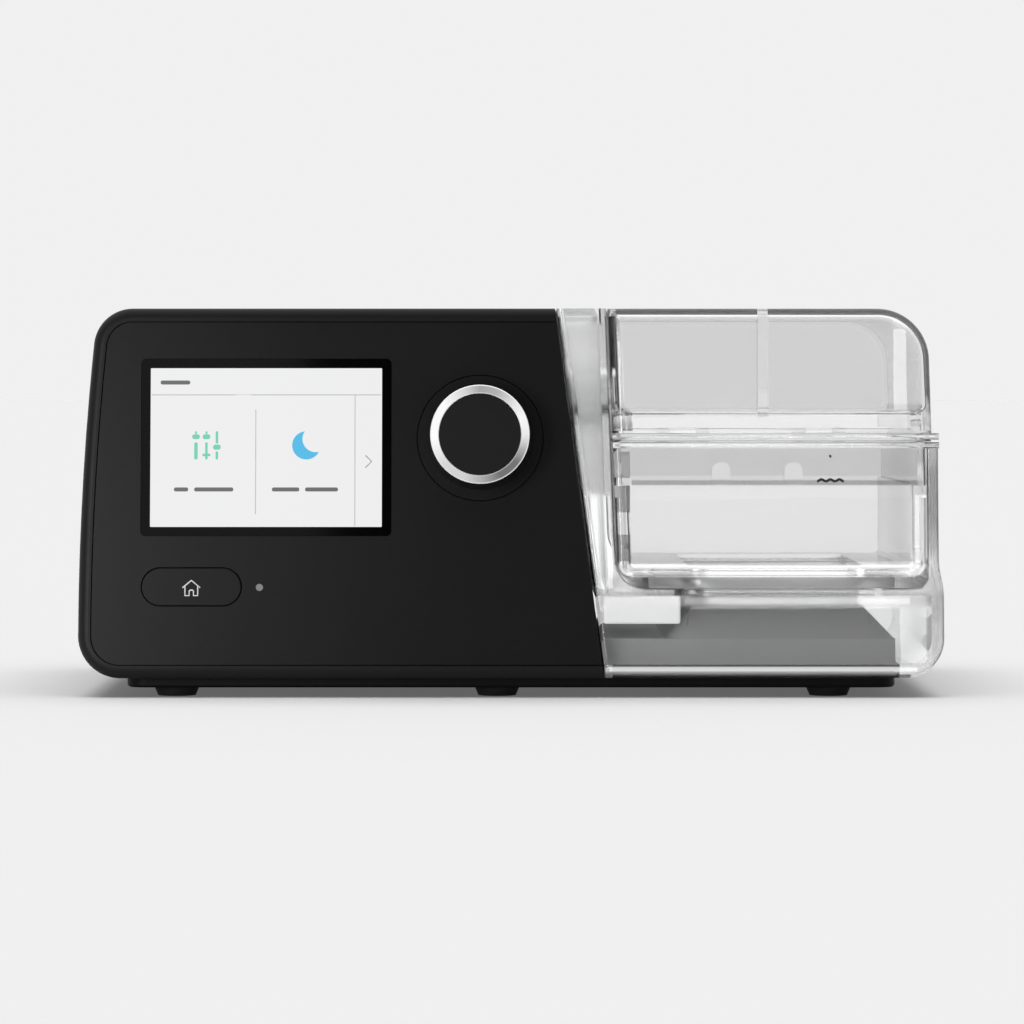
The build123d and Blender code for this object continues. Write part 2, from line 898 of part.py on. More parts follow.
silencer_leg_x = silencer_width / 2 - 2 * post_r
silencer_legs = [
    (silencer_x + side * silencer_leg_x, leg_y)
    for side in (-1, 1)
    for leg_y in (silencer_front_y + 2 * post_r, split_y - 2 * cover_lip - post_r)
]

board_top_z = main_board_z + board_thickness
board_corner_x = main_board_width / 2 - main_board_hole_inset
board_corner_y = main_board_depth / 2 - main_board_hole_inset
board_corners = [
    (main_board_x + side * board_corner_x, main_board_y + end * board_corner_y)
    for side in (-1, 1)
    for end in (-1, 1)
]
socket_right_x = card_length + card_inset - half_width + socket_wall + move_gap

with BuildPart() as main_board:
    with BuildSketch(Plane.XY.offset(main_board_z)):
        with Locations((main_board_x, main_board_y)):
            Rectangle(main_board_width, main_board_depth)
        with Locations(silencer_legs):
            Circle(post_r + move_gap, mode=Mode.SUBTRACT)
    extrude(amount=board_thickness)
    # stand-offs down to the floor
    with BuildSketch(Plane.XY.offset(floor_z)):
        with Locations(board_corners):
            Circle(post_r)
    extrude(amount=main_board_z - floor_z)
save(main_board.part, "main_board")

capacitor_r = 3.0
capacitor_height = 6.5
chip_side = 12.0
chip_height = 1.6
coil_side = 8.0
coil_height = 5.0
part_row_y = main_board_y - main_board_depth / 4
capacitor_x = main_board_x + main_board_width / 2 - 3 * capacitor_r
capacitor_places = [(capacitor_x, part_row_y + n * 3 * capacitor_r) for n in range(4)]

with BuildPart() as board_parts:
    with BuildSketch(Plane.XY.offset(board_top_z)):
        with Locations(capacitor_places):
            Circle(capacitor_r)
    extrude(amount=capacitor_height)
    with BuildSketch(Plane.XY.offset(board_top_z)):
        with Locations((main_board_x, part_row_y), (main_board_x + 3 * chip_side, part_row_y)):
            Rectangle(chip_side, chip_side)
    extrude(amount=chip_height)
    with BuildSketch(Plane.XY.offset(board_top_z)):
        with Locations((main_board_x + chip_side, main_board_y + chip_side)):
            RectangleRounded(coil_side, coil_side, socket_wall)
    extrude(amount=coil_height)
save(board_parts.part, "board_parts")

slot_high = card_thickness + 2 * card_slot_gap
socket_left_x = wall - half_width + card_slot_gap

with BuildPart() as card_socket:
    with BuildSketch(Plane.YZ.offset(socket_left_x)):
        with Locations((card_y, board_top_z)):
            Rectangle(
                card_width + 2 * card_slot_gap + 2 * socket_wall,
                slot_high + 2 * socket_wall,
                align=(Align.CENTER, Align.MIN),
            )
    extrude(amount=socket_right_x - socket_left_x)
    with BuildSketch(Plane.YZ.offset(socket_left_x)):
        with Locations((card_y, card_z)):
            Rectangle(card_width + 2 * card_slot_gap, slot_high)
    extrude(amount=socket_right_x - socket_wall - socket_left_x, mode=Mode.SUBTRACT)
save(card_socket.part, "card_socket")

with BuildPart() as memory_card:
    with BuildSketch(Plane.XY.offset(card_z - card_thickness / 2)):
        with Locations((card_inset - half_width, card_y)):
            Rectangle(card_length, card_width, align=(Align.MIN, Align.CENTER))
    extrude(amount=card_thickness)
    inner_end = memory_card.edges().filter_by(Axis.Z).group_by(Axis.X)[-1].sort_by(Axis.Y)[0]
    chamfer(inner_end, length=2 * card_thickness)
save(memory_card.part, "memory_card")

inlet_place = (inlet_x, inlet_z)

with BuildPart() as power_socket:
    with BuildSketch(Plane.XZ.offset(-inlet_back_y)):
        with Locations(inlet_place):
            Rectangle(inlet_width + 2 * inlet_wall, inlet_height + 2 * inlet_wall)
    extrude(amount=inlet_back_y - rear_y)
    with BuildSketch(Plane.XZ.offset(-rear_y)):
        with Locations(inlet_place):
            RectangleRounded(inlet_width, inlet_height, inlet_wall)
    extrude(amount=inlet_depth - inlet_wall, mode=Mode.SUBTRACT)
    # foot that stands on the floor of the housing
    with BuildSketch(Plane.XY.offset(floor_z)):
        with Locations((inlet_x, inlet_back_y)):
            Rectangle(inlet_width, inlet_depth - wall, align=(Align.CENTER, Align.MIN))
    extrude(amount=inlet_z - inlet_height / 2 - inlet_wall - floor_z)
save(power_socket.part, "power_socket")

with BuildPart() as power_pins:
    with BuildSketch(Plane.XZ.offset(-inlet_back_y - inlet_wall)):
        with Locations([(inlet_x + n * inlet_width / 4, inlet_z) for n in (-1, 0, 1)]):
            Circle(socket_wall)
    extrude(amount=-pin_length)
save(power_pins.part, "power_pins")

# ------------------------------------------------------------------
# air filter and its hinged cover
# ------------------------------------------------------------------

with BuildPart() as air_filter:
    with BuildSketch(Plane.XZ.offset(-pocket_y)):
        with Locations((filter_x, filter_z)):
            RectangleRounded(filter_width - fit_gap, filter_height - fit_gap, 2 * duct_wall - fit_gap / 2)
    extrude(amount=-filter_thickness)
save(air_filter.part, "air_filter")

slot_pitch = filter_width / (slot_count + 1)

with BuildPart() as filter_cover:
    with BuildSketch(Plane.XZ.offset(-rear_y)):
        with Locations((filter_x, cover_axis_z)):
            Rectangle(cover_wide - 2 * move_gap, cover_top_z - cover_axis_z, align=(Align.CENTER, Align.MIN))
    extrude(amount=cover_thickness)
    fillet(filter_cover.edges().filter_by(Axis.Y).group_by(Axis.Z)[-1], radius=cover_thickness)
    with BuildSketch(Plane.XZ.offset(-rear_y)):
        with Locations((filter_x, filter_z)):
            with GridLocations(slot_pitch, 0, slot_count, 1):
                SlotOverall(filter_height - filter_cover_margin, slot_width, rotation=90)
    extrude(amount=cover_thickness, mode=Mode.SUBTRACT)
    # rolled lower edge with its two pins
    with BuildSketch(Plane.YZ.offset(filter_x - cover_wide / 2 + move_gap)):
        with Locations((cover_axis_y, cover_axis_z)):
            Circle(cover_thickness / 2)
    extrude(amount=cover_wide - 2 * move_gap)
    with BuildSketch(Plane.YZ.offset(filter_x - cover_wide / 2 - cover_pin_length + move_gap / 2)):
        with Locations((cover_axis_y, cover_axis_z)):
            Circle(cover_pin_r)
    extrude(amount=cover_wide + 2 * cover_pin_length - move_gap)
save(filter_cover.part, "filter_cover")

# ------------------------------------------------------------------
# silencer box between the filter and the blower
# ------------------------------------------------------------------

silencer_rear_y = pocket_y - duct_wall - fit_gap
silencer_centre_y = (silencer_front_y + silencer_rear_y) / 2
silencer_depth = silencer_rear_y - silencer_front_y
silencer_place = (silencer_x, silencer_centre_y)
window_width = filter_width - 4 * duct_wall
window_height = filter_height - 4 * duct_wall
collar_r = inlet_r + duct_wall

with BuildPart() as silencer_box:
    with BuildSketch(Plane.XY.offset(silencer_low_z)):
        with Locations(silencer_place):
            RectangleRounded(silencer_width, silencer_depth, 2 * post_r)
    extrude(amount=silencer_height)
    with BuildSketch(Plane.XY.offset(silencer_low_z + silencer_wall)):
        with Locations(silencer_place):
            RectangleRounded(silencer_width - 2 * silencer_wall, silencer_depth - 2 * silencer_wall, post_r)
    extrude(amount=silencer_height, mode=Mode.SUBTRACT)
    # window to the filter pocket
    with BuildSketch(Plane.XZ.offset(-silencer_rear_y)):
        with Locations((filter_x, filter_z)):
            Rectangle(window_width, window_height)
    extrude(amount=2 * silencer_wall, both=True, mode=Mode.SUBTRACT)
    # legs down to the floor
    with BuildSketch(Plane.XY.offset(floor_z)):
        with Locations(silencer_legs):
            Circle(post_r)
    extrude(amount=silencer_low_z - floor_z)
save(silencer_box.part, "silencer_box")

with BuildPart() as silencer_foam:
    with BuildSketch(Plane.XY.offset(silencer_low_z + silencer_wall)):
        with Locations(silencer_place):
            RectangleRounded(silencer_width - 2 * silencer_wall, silencer_depth - 2 * silencer_wall, post_r)
    extrude(amount=silencer_height - silencer_wall)
    with BuildSketch(Plane.XY.offset(silencer_low_z + silencer_wall)):
        with Locations(silencer_place):
            RectangleRounded(
                silencer_width - 2 * foam_thickness, silencer_depth - 2 * foam_thickness, 2 * post_r
            )
    extrude(amount=silencer_height, mode=Mode.SUBTRACT)
    with BuildSketch(Plane.XZ.offset(-silencer_rear_y)):
        with Locations((filter_x, filter_z)):
            Rectangle(window_width, window_height)
    extrude(amount=foam_thickness + silencer_wall, mode=Mode.SUBTRACT)
save(silencer_foam.part, "silencer_foam")

blower_place = (blower_x, blower_y)

with BuildPart() as silencer_cover:
    with BuildSketch(Plane.XY.offset(silencer_cover_z)):
        with Locations(silencer_place):
            RectangleRounded(silencer_width, silencer_depth, 2 * post_r)
        with Locations(blower_place):
            Circle(collar_r + move_gap, mode=Mode.SUBTRACT)
    extrude(amount=silencer_wall)
save(silencer_cover.part, "silencer_cover")

# ------------------------------------------------------------------
# blower on its rubber mounts
# ------------------------------------------------------------------

mount_z = silencer_cover_z + silencer_wall
volute_mid_z = volute_low_z + volute_height / 2
volute_top_z = volute_low_z + volute_height
blower_end_x = blower_x + outlet_reach
spigot_r = port_r - run_gap
cavity_r = volute_r - volute_wall
disc_z = volute_mid_z + disc_thickness
motor_low_z = volute_top_z


def volute_profile(inset):
    # round chamber with its tangent outlet
    box_width = outlet_box_width - 2 * inset
    with BuildSketch() as profile:
        with Locations(blower_place):
            Circle(volute_r - inset)
        with Locations((blower_x, supply_port_y)):
            Rectangle(outlet_reach - inset, box_width, align=(Align.MIN, Align.CENTER))
    return profile.sketch


def outlet_tube(radius, from_x, to_x):
    # solid rod along X on the blower's outlet
    with BuildPart() as rod:
        with BuildSketch(Plane.YZ.offset(from_x)):
            with Locations((supply_port_y, volute_mid_z)):
                Circle(radius)
        extrude(amount=to_x - from_x)
    return rod.part


volute_outer = volute_profile(0)
volute_inner = volute_profile(volute_wall)
spigot = outlet_tube(spigot_r, blower_end_x, blower_end_x + spigot_length)
spigot_bore = outlet_tube(
    spigot_r - duct_wall, blower_end_x - 2 * volute_wall, blower_end_x + 2 * spigot_length
)

with BuildPart() as blower_lower:
    with BuildSketch(Plane.XY.offset(volute_low_z)):
        add(volute_outer)
    extrude(amount=volute_height / 2)
    add(spigot)
    with BuildSketch(Plane.XY.offset(volute_low_z + volute_wall)):
        add(volute_inner)
    extrude(amount=volute_height, mode=Mode.SUBTRACT)
    add(spigot_bore, mode=Mode.SUBTRACT)
    split(bisect_by=Plane.XY.offset(volute_mid_z), keep=Keep.BOTTOM)
    # inlet collar down into the silencer
    with BuildSketch(Plane.XY.offset(silencer_cover_z)):
        with Locations(blower_place):
            Circle(collar_r)
    extrude(amount=volute_low_z - silencer_cover_z)
    with BuildSketch(Plane.XY.offset(silencer_cover_z)):
        with Locations(blower_place):
            Circle(inlet_r)
    extrude(amount=volute_low_z + volute_wall - silencer_cover_z, mode=Mode.SUBTRACT)
save(blower_lower.part, "blower_lower")

with BuildPart() as blower_upper:
    with BuildSketch(Plane.XY.offset(volute_mid_z)):
        add(volute_outer)
    extrude(amount=volute_height / 2)
    add(spigot)
    with BuildSketch(Plane.XY.offset(volute_low_z)):
        add(volute_inner)
    extrude(amount=volute_height - volute_wall, mode=Mode.SUBTRACT)
    add(spigot_bore, mode=Mode.SUBTRACT)
    split(bisect_by=Plane.XY.offset(volute_mid_z), keep=Keep.TOP)
    with BuildSketch(Plane.XY.offset(volute_low_z)):
        with Locations(blower_place):
            Circle(shaft_r + move_gap)
    extrude(amount=2 * volute_height, mode=Mode.SUBTRACT)
save(blower_upper.part, "blower_upper")

with BuildPart() as blower_mounts:
    with BuildSketch(Plane.XY.offset(mount_z)):
        with Locations(blower_place):
            with PolarLocations(mount_circle_r, 3, start_angle=60):
                Circle(mount_r)
    extrude(amount=mount_height)
save(blower_mounts.part, "blower_mounts")

with BuildPart() as blower_motor:
    with BuildSketch(Plane.XY.offset(motor_low_z)):
        with Locations(blower_place):
            Circle(motor_r)
    extrude(amount=motor_height)
    chamfer(blower_motor.faces().sort_by(Axis.Z)[-1].edges(), length=duct_wall)
    with BuildSketch(Plane.XY.offset(motor_low_z)):
        with Locations(blower_place):
            Circle(shaft_r + run_gap)
    extrude(amount=motor_height, mode=Mode.SUBTRACT)
save(blower_motor.part, "blower_motor")

with BuildPart() as motor_shaft:
    with BuildSketch(Plane.XY.offset(disc_z - blade_height)):
        with Locations(blower_place):
            Circle(shaft_r)
    extrude(amount=motor_low_z + motor_height - disc_z + blade_height)
save(motor_shaft.part, "motor_shaft")

blade_root_r = 3 * shaft_r
blade_length = impeller_r - blade_root_r

with BuildPart() as impeller:
    with BuildSketch(Plane.XY.offset(disc_z)):
        with Locations(blower_place):
            Circle(impeller_r)
    extrude(amount=disc_thickness)
    with BuildSketch(Plane.XY.offset(disc_z - blade_height)):
        with Locations(blower_place):
            Circle(blade_root_r)
            with PolarLocations(blade_root_r - blade_thickness, impeller_blades):
                Rectangle(
                    blade_length, blade_thickness, rotation=-blade_sweep, align=(Align.MIN, Align.CENTER)
                )
    extrude(amount=blade_height)
    with BuildSketch(Plane.XY.offset(volute_low_z)):
        with Locations(blower_place):
            Circle(shaft_r)
    extrude(amount=volute_height, mode=Mode.SUBTRACT)
save(impeller.part, "impeller")

# ------------------------------------------------------------------
# air ducts to and from the ports, and the hose outlet
# ------------------------------------------------------------------

slant_normal = (height - body_low_z, 0, slant_low_x - slant_top_x)
bend_r = 2 * port_r
outlet_flange_y = rear_y - wall - outlet_flange_thickness


def slant_plane(shift):
    return Plane(origin=(slant_low_x + shift, 0, body_low_z), x_dir=(0, 1, 0), z_dir=slant_normal)


supply_start_x = blower_end_x
supply_bend_x = blower_end_x + spigot_length + duct_wall + bend_r / 2
supply_rise_x = slant_x(port_z) - wall - bend_r
supply_points = [
    (supply_start_x, supply_port_y, volute_mid_z),
    (supply_bend_x, supply_port_y, volute_mid_z),
    (supply_rise_x, supply_port_y, port_z),
    (half_width, supply_port_y, port_z),
]
return_points = [
    (half_width, return_port_y, port_z),
    (outlet_x, return_port_y, port_z),
    (outlet_x, outlet_flange_y, port_z),
]


def bent_tube(points, start_plane):
    with BuildPart() as tube:
        with BuildLine() as route:
            FilletPolyline(*points, radius=bend_r)
        with BuildSketch(start_plane):
            Circle(duct_r)
            Circle(port_r, mode=Mode.SUBTRACT)
        sweep(path=route.line)
        split(bisect_by=slant_plane(0), keep=Keep.BOTTOM)
    return tube.part


supply_start = Plane(origin=supply_points[0], x_dir=(0, 1, 0), z_dir=(1, 0, 0))
return_start = Plane(origin=return_points[0], x_dir=(0, 1, 0), z_dir=(-1, 0, 0))

with BuildPart() as supply_duct:
    add(bent_tube(supply_points, supply_start))
save(supply_duct.part, "supply_duct")

with BuildPart() as return_duct:
    add(bent_tube(return_points, return_start))
save(return_duct.part, "return_duct")

with BuildPart() as hose_outlet:
    with BuildSketch(Plane.XZ.offset(-outlet_flange_y)):
        with Locations((outlet_x, port_z)):
            Circle(outlet_r + outlet_flange)
    extrude(amount=-outlet_flange_thickness)
    with BuildSketch(Plane.XZ.offset(-outlet_flange_y)):
        with Locations((outlet_x, port_z)):
            Circle(outlet_r)
    extrude(amount=outlet_flange_y - rear_y - outlet_length)
    with BuildSketch(Plane.XZ.offset(-outlet_flange_y)):
        with Locations((outlet_x, port_z)):
            Circle(outlet_r + outlet_shoulder)
    extrude(amount=outlet_flange_y - rear_y - outlet_shoulder_reach)
    with BuildSketch(Plane.XZ.offset(-outlet_flange_y)):
        with Locations((outlet_x, port_z)):
            Circle(spigot_r)
    extrude(amount=spigot_length / 2)
    tip = hose_outlet.faces().sort_by(Axis.Y)[-1].edges()
    chamfer(tip, length=duct_wall / 2)
    with BuildSketch(Plane.XZ.offset(-rear_y - outlet_length)):
        with Locations((outlet_x, port_z)):
            Circle(outlet_bore_r)
    extrude(amount=outlet_length, mode=Mode.SUBTRACT)
    with BuildSketch(Plane.XZ.offset(-rear_y)):
        with Locations((outlet_x, port_z)):
            Circle(spigot_r - duct_wall)
    extrude(amount=2 * outlet_length, mode=Mode.SUBTRACT)
save(hose_outlet.part, "hose_outlet")

# ------------------------------------------------------------------
# heater on the base plate, under the chamber
# ------------------------------------------------------------------

heater_left_x = slant_low_x + fit_gap
heater_back_y = rear_y - heater_rear_inset
heater_front_y = face_y(heater_slab_z) + heater_front_inset / cos(radians(lean))
step_centre = ((heater_step_x + heater_right_x) / 2, (heater_front_y + heater_back_y) / 2)
step_length = heater_right_x - heater_step_x
step_depth = heater_back_y - heater_front_y
step_rise = heater_top_z - heater_slab_z
plate_length = step_length - 2 * (heater_slope + heater_top_margin)
plate_depth = step_depth - 2 * (heater_slope + heater_top_margin)
plate_top_z = heater_top_z + heater_plate_thickness


def side_profile(left_x, right_x, low_z, top_z):
    # plain rectangle in the XZ plane
    with BuildSketch() as profile:
        with BuildLine():
            Polyline((left_x, low_z), (right_x, low_z), (right_x, top_z), (left_x, top_z), close=True)
        make_face()
    return profile.sketch


slab = run_back(
    side_profile(heater_left_x, heater_right_x, body_low_z, heater_slab_z), heater_front_inset, heater_back_y
)

with BuildPart() as heater_block:
    add(slab)
    fillet(heater_block.edges().filter_by(Axis.Z).group_by(Axis.X)[-1], radius=tub_corner_r)
    with BuildSketch(Plane.XY.offset(heater_slab_z)):
        with Locations(step_centre):
            RectangleRounded(step_length, step_depth, tray_corner_r)
    extrude(amount=step_rise, taper=degrees(atan2(heater_slope, step_rise)))
save(heater_block.part, "heater_block")

with BuildPart() as heater_plate:
    with BuildSketch(Plane.XY.offset(heater_top_z)):
        with Locations(step_centre):
            RectangleRounded(plate_length, plate_depth, tray_corner_r)
    extrude(amount=heater_plate_thickness)
    chamfer(heater_plate.faces().sort_by(Axis.Z)[-1].edges(), length=seal_thickness)
save(heater_plate.part, "heater_plate")

# ------------------------------------------------------------------
# clear cradle of the chamber: docking column, skirt and right side
# ------------------------------------------------------------------

skirt_low_z = body_low_z + skirt_gap
side_x = half_width - side_inset
strip_in_x = side_x - strip_width
strip_top_z = rim_low_z - seat_gap
deck_low_z = deck_top_z - deck_thickness
half_seam = seam_gap / 2
flare_mid_z = (flare_low_z + flare_top_z) / 2


def column_right(z, shift=0.0):
    return (seam_x(z) - half_seam - shift, z)


def column_left(z, shift=0.0):
    return (slant_x(z) + dock_gap + shift, z)


with BuildSketch() as cradle_profile:
    with BuildLine():
        Polyline(
            (half_width, flare_low_z),
            (half_width, skirt_low_z),
            column_left(skirt_low_z),
            column_left(height),
            column_right(height),
            column_right(deck_top_z),
            (strip_in_x, deck_top_z),
            (strip_in_x, strip_top_z),
            (side_x, strip_top_z),
            (side_x, flare_top_z),
        )
        Bezier(
            (side_x, flare_top_z), (side_x, flare_mid_z), (half_width, flare_mid_z), (half_width, flare_low_z)
        )
    make_face()
    fillet(cradle_profile.vertices().sort_by_distance((half_width, skirt_low_z))[0], radius=skirt_corner_r)
    fillet(cradle_profile.vertices().sort_by_distance(column_right(deck_top_z))[0], radius=inner_corner_r)
    fillet(cradle_profile.vertices().sort_by_distance((strip_in_x, deck_top_z))[0], radius=strip_width)

pocket_right_x = side_x - clear_wall
pocket_floor_z = skirt_low_z + skirt_rim
floor_edge_x = heater_right_x + 2 * move_gap
pocket_corner_r = min(skirt_corner_r - skirt_rim, pocket_right_x - floor_edge_x - run_gap)

with BuildSketch() as pocket_profile:
    with BuildLine():
        Polyline(
            (0, -beyond),
            (floor_edge_x, -beyond),
            (floor_edge_x, pocket_floor_z),
            (pocket_right_x, pocket_floor_z),
            (pocket_right_x, deck_low_z),
            (0, deck_low_z),
            close=True,
        )
    make_face()
    pocket_corner = pocket_profile.vertices().sort_by_distance((pocket_right_x, pocket_floor_z))[0]
    fillet(pocket_corner, radius=pocket_corner_r)

column_low_z = deck_low_z - clear_wall
column_top_z = height - clear_wall

with BuildSketch() as column_profile:
    with BuildLine():
        Polyline(
            column_left(column_low_z, clear_wall),
            column_left(column_top_z, clear_wall),
            column_right(column_top_z, clear_wall),
            column_right(column_low_z, clear_wall),
            close=True,
        )
    make_face()

with BuildSketch() as skirt_rim_profile:
    add(cradle_profile.sketch)
    add(side_profile(0, pocket_right_x, skirt_low_z, pocket_floor_z), mode=Mode.INTERSECT)

with BuildPart() as skirt_front_rim:
    add(leaning_plate(skirt_rim_profile.sketch, clear_wall / 2, clear_wall + skirt_rim_depth))
    top_edges = skirt_front_rim.edges().filter_by(Axis.X).group_by(Axis.Z)[-1]
    chamfer(top_edges.sort_by(Axis.Y)[-1], length=skirt_rim_depth - seat_gap)

cradle_solid = run_back(cradle_profile.sketch, 0, rear_y)
skirt_pocket = run_back(pocket_profile.sketch, clear_wall, rear_y - clear_wall)
column_hollow = run_back(column_profile.sketch, clear_wall, rear_y - clear_wall)
tray_length = plate_length - 2 * heater_plate_margin + 2 * tray_margin
tray_depth = plate_depth - 2 * heater_plate_margin + 2 * tray_margin
port_tube_r = port_r + port_wall
port_seal_r = port_tube_r + seal_width
seal_seat = clear_wall / 2
deck_window = 2 * tray_margin


def skirt_outside(edge):
    # the skirt's bottom, its round corner and the whole right side
    middle = edge.center()
    on_side = middle.X > side_x - seat_gap and middle.Z < rim_low_z - strip_width
    return on_side or middle.Z < skirt_low_z + seat_gap


def deck_and_seam(edge):
    # along the deck's top, up the seam and up the strip's inside
    middle = edge.center()
    inside = seam_top_x - seam_gap < middle.X < strip_in_x + seat_gap
    return inside and deck_low_z < middle.Z < height - strip_width


def left_side(edge):
    # up the slanted side next to the black unit
    middle = edge.center()
    return middle.X < column_left(middle.Z)[0] + cradle_edge_r


def seam_plane(shift):
    seam_normal = (height - deck_top_z, 0, seam_low_x - seam_top_x)
    return Plane(origin=(seam_low_x + shift, 0, deck_top_z), x_dir=(0, 1, 0), z_dir=seam_normal)


def port_rods(radius, left_plane, right_plane):
    # solid rods along X at both ports, between two slanted planes
    with BuildPart() as rods:
        with BuildSketch(Plane.YZ.offset(port_start_x)):
            with Locations(port_places):
                Circle(radius)
        extrude(amount=half_width)
        split(bisect_by=left_plane, keep=Keep.TOP)
        split(bisect_by=right_plane, keep=Keep.BOTTOM)
    return rods.part


port_tubes = port_rods(port_tube_r, slant_plane(dock_gap), seam_plane(-half_seam))
port_bores = port_rods(port_r, slant_plane(-dock_gap), seam_plane(dock_gap))
seal_seats = port_rods(port_seal_r + run_gap, slant_plane(-dock_gap), slant_plane(dock_gap + seal_seat))
seal_rings = port_rods(port_seal_r, slant_plane(skirt_gap), slant_plane(dock_gap + seal_seat - seat_gap))

with BuildPart() as chamber_cradle:
    add(cradle_solid)
    fillet(leaning_edges(chamber_cradle, skirt_outside), radius=skirt_edge_r)
    fillet(leaning_edges(chamber_cradle, deck_and_seam), radius=cradle_inner_r)
    fillet(leaning_edges(chamber_cradle, left_side), radius=cradle_edge_r)
    fillet(chamber_cradle.faces().sort_by(Axis.Y)[-1].edges(), radius=cradle_edge_r)
    add(skirt_pocket, mode=Mode.SUBTRACT)
    add(skirt_front_rim.part)
    add(column_hollow, mode=Mode.SUBTRACT)
    with BuildSketch(Plane.XY.offset(deck_low_z)):
        with Locations(step_centre):
            RectangleRounded(tray_length + deck_window, tray_depth + deck_window, tray_corner_r)
    extrude(amount=deck_thickness, mode=Mode.SUBTRACT)
    add(port_tubes)
    add(seal_seats, mode=Mode.SUBTRACT)
    add(port_bores, mode=Mode.SUBTRACT)
save(chamber_cradle.part, "chamber_cradle")

catch_face = side_profile(catch_left_x, catch_right_x, catch_low_z, deck_low_z - seat_gap)
catch_near = clear_wall + seat_gap

with BuildPart() as chamber_catch:
    add(leaning_plate(catch_face, catch_near, catch_near + catch_depth))
    fillet(chamber_catch.edges(), radius=catch_edge_r)
save(chamber_catch.part, "chamber_catch")

with BuildPart() as port_seals:
    add(seal_rings)
    add(port_bores, mode=Mode.SUBTRACT)
save(port_seals.part, "port_seals")

# ------------------------------------------------------------------
# clear tub with its metal tray
# ------------------------------------------------------------------

tub_right_x = strip_in_x - move_gap
tub_top_z = rim_low_z + flange_thickness
lip_top_z = lip_low_z + lip_height
floor_top_z = tub_low_z + tub_wall
foot_low_z = deck_top_z + seat_gap
foot_side_inset = inner_corner_r + move_gap
foot_end_inset = tub_setback + 3 * move_gap + tub_wall
hinge_y = rear_y + flange_proud + hinge_reach
lid_flange_z = lid_low_z - flange_thickness
hinge_z = (tub_top_z + lid_flange_z) / 2


def tub_outline(inset, low_z, top_z, corner_r):
    # tub cross-section: slanted left side, upright right side, round lower corners
    left_shift = half_seam + inset
    with BuildSketch() as outline:
        with BuildLine():
            Polyline(
                (seam_x(low_z) + left_shift, low_z),
                (tub_right_x - inset, low_z),
                (tub_right_x - inset, top_z),
                (seam_x(top_z) + left_shift, top_z),
                close=True,
            )
        make_face()
        if corner_r:
            fillet(outline.vertices().group_by(Axis.Y)[0], radius=corner_r)
    return outline.sketch


def seam_band(right_x, low_z, top_z, inset=0.0):
    # band from the seam to right_x
    left_shift = half_seam + inset
    with BuildSketch() as band:
        with BuildLine():
            Polyline(
                (seam_x(low_z) + left_shift, low_z),
                (right_x, low_z),
                (right_x, top_z),
                (seam_x(top_z) + left_shift, top_z),
                close=True,
            )
        make_face()
    return band.sketch


def round_flange(low_z, top_z):
    # flange with its long front and rear edges rounded
    with BuildPart() as flange:
        add(run_back(seam_band(side_x, low_z, top_z), -flange_proud, rear_y + flange_proud))
        fillet(front_and_rear(flange).filter_by(Axis.X), radius=flange_edge_r)
    return flange.part


thick_wall = tub_wall + step_in
tub_solid = run_back(tub_outline(0, tub_low_z, rim_low_z, tub_corner_r), tub_setback, rear_y - tub_setback)
tub_lower_outline = tub_outline(thick_wall, floor_top_z, lip_top_z, tub_inner_r)

with BuildPart() as tub_lower:
    add(run_back(tub_lower_outline, tub_setback + thick_wall, rear_y - tub_setback - thick_wall))
    fillet(leaning_edges(tub_lower, lambda edge: edge.center().Z < lip_low_z), radius=tub_hollow_r)

tub_upper = run_back(
    tub_outline(tub_wall, lip_top_z, tub_top_z, 0), tub_setback + tub_wall, rear_y - tub_setback - tub_wall
)
tub_flange = round_flange(rim_low_z, tub_top_z)
lip_near = tub_setback - lip_proud
tub_lip = run_back(seam_band(tub_right_x, lip_low_z, lip_top_z), lip_near, rear_y - lip_near)
tub_foot = run_back(
    tub_outline(foot_side_inset, foot_low_z, tub_low_z, 0), foot_end_inset, rear_y - foot_end_inset
)
foot_hollow = run_back(
    tub_outline(foot_side_inset + tub_wall, foot_low_z, tub_low_z, 0),
    foot_end_inset + tub_wall,
    rear_y - foot_end_inset - tub_wall,
)


def lug_profile(x):
    # upright lug with a round top
    with BuildSketch() as lug:
        add(side_profile(x - lug_width / 2, x + lug_width / 2, lip_top_z, lip_top_z + lug_height))
        fillet(lug.vertices().group_by(Axis.Y)[-1], radius=lug_corner_r)
    return lug.sketch


lugs = [
    run_back(
        lug_profile(x),
        tub_setback + tub_wall,
        face_y(lip_top_z) + tub_setback + tub_wall + lug_depth,
    )
    for x in (lug_left_x, lug_right_x)
]


def hinge_lugs(length, centres, low_z, top_z):
    # knuckles round the hinge line with a web to the flange
    with BuildPart() as knuckles:
        for x in centres:
            with BuildSketch(Plane.YZ.offset(x - length / 2)):
                with Locations((hinge_y, hinge_z)):
                    Circle(knuckle_r)
                with Locations((hinge_y, (low_z + top_z) / 2)):
                    Rectangle(hinge_reach + flange_proud, top_z - low_z, align=(Align.MAX, Align.CENTER))
            extrude(amount=length)
    return knuckles.part


def hinge_bore(radius):
    with BuildPart() as bore:
        with BuildSketch(Plane.YZ.offset(seam_low_x)):
            with Locations((hinge_y, hinge_z)):
                Circle(radius)
        extrude(amount=half_width - seam_low_x)
    return bore.part


wall_blocks = [
    run_back(
        seam_band(block_right_x, low_z, top_z, tub_wall / 2),
        tub_setback + tub_wall / 2,
        face_y(low_z) + block_depth,
    )
    for low_z, top_z in block_heights
]
ear_shift = (knuckle_length + ear_length) / 2 + move_gap
ear_centres = [x + side * ear_shift for x in hinge_columns for side in (-1, 1)]
tub_ears = hinge_lugs(ear_length, ear_centres, rim_low_z, tub_top_z)
lid_knuckles = hinge_lugs(knuckle_length, hinge_columns, lid_flange_z, lid_low_z)
ear_bore = hinge_bore(hinge_pin_r + run_gap)

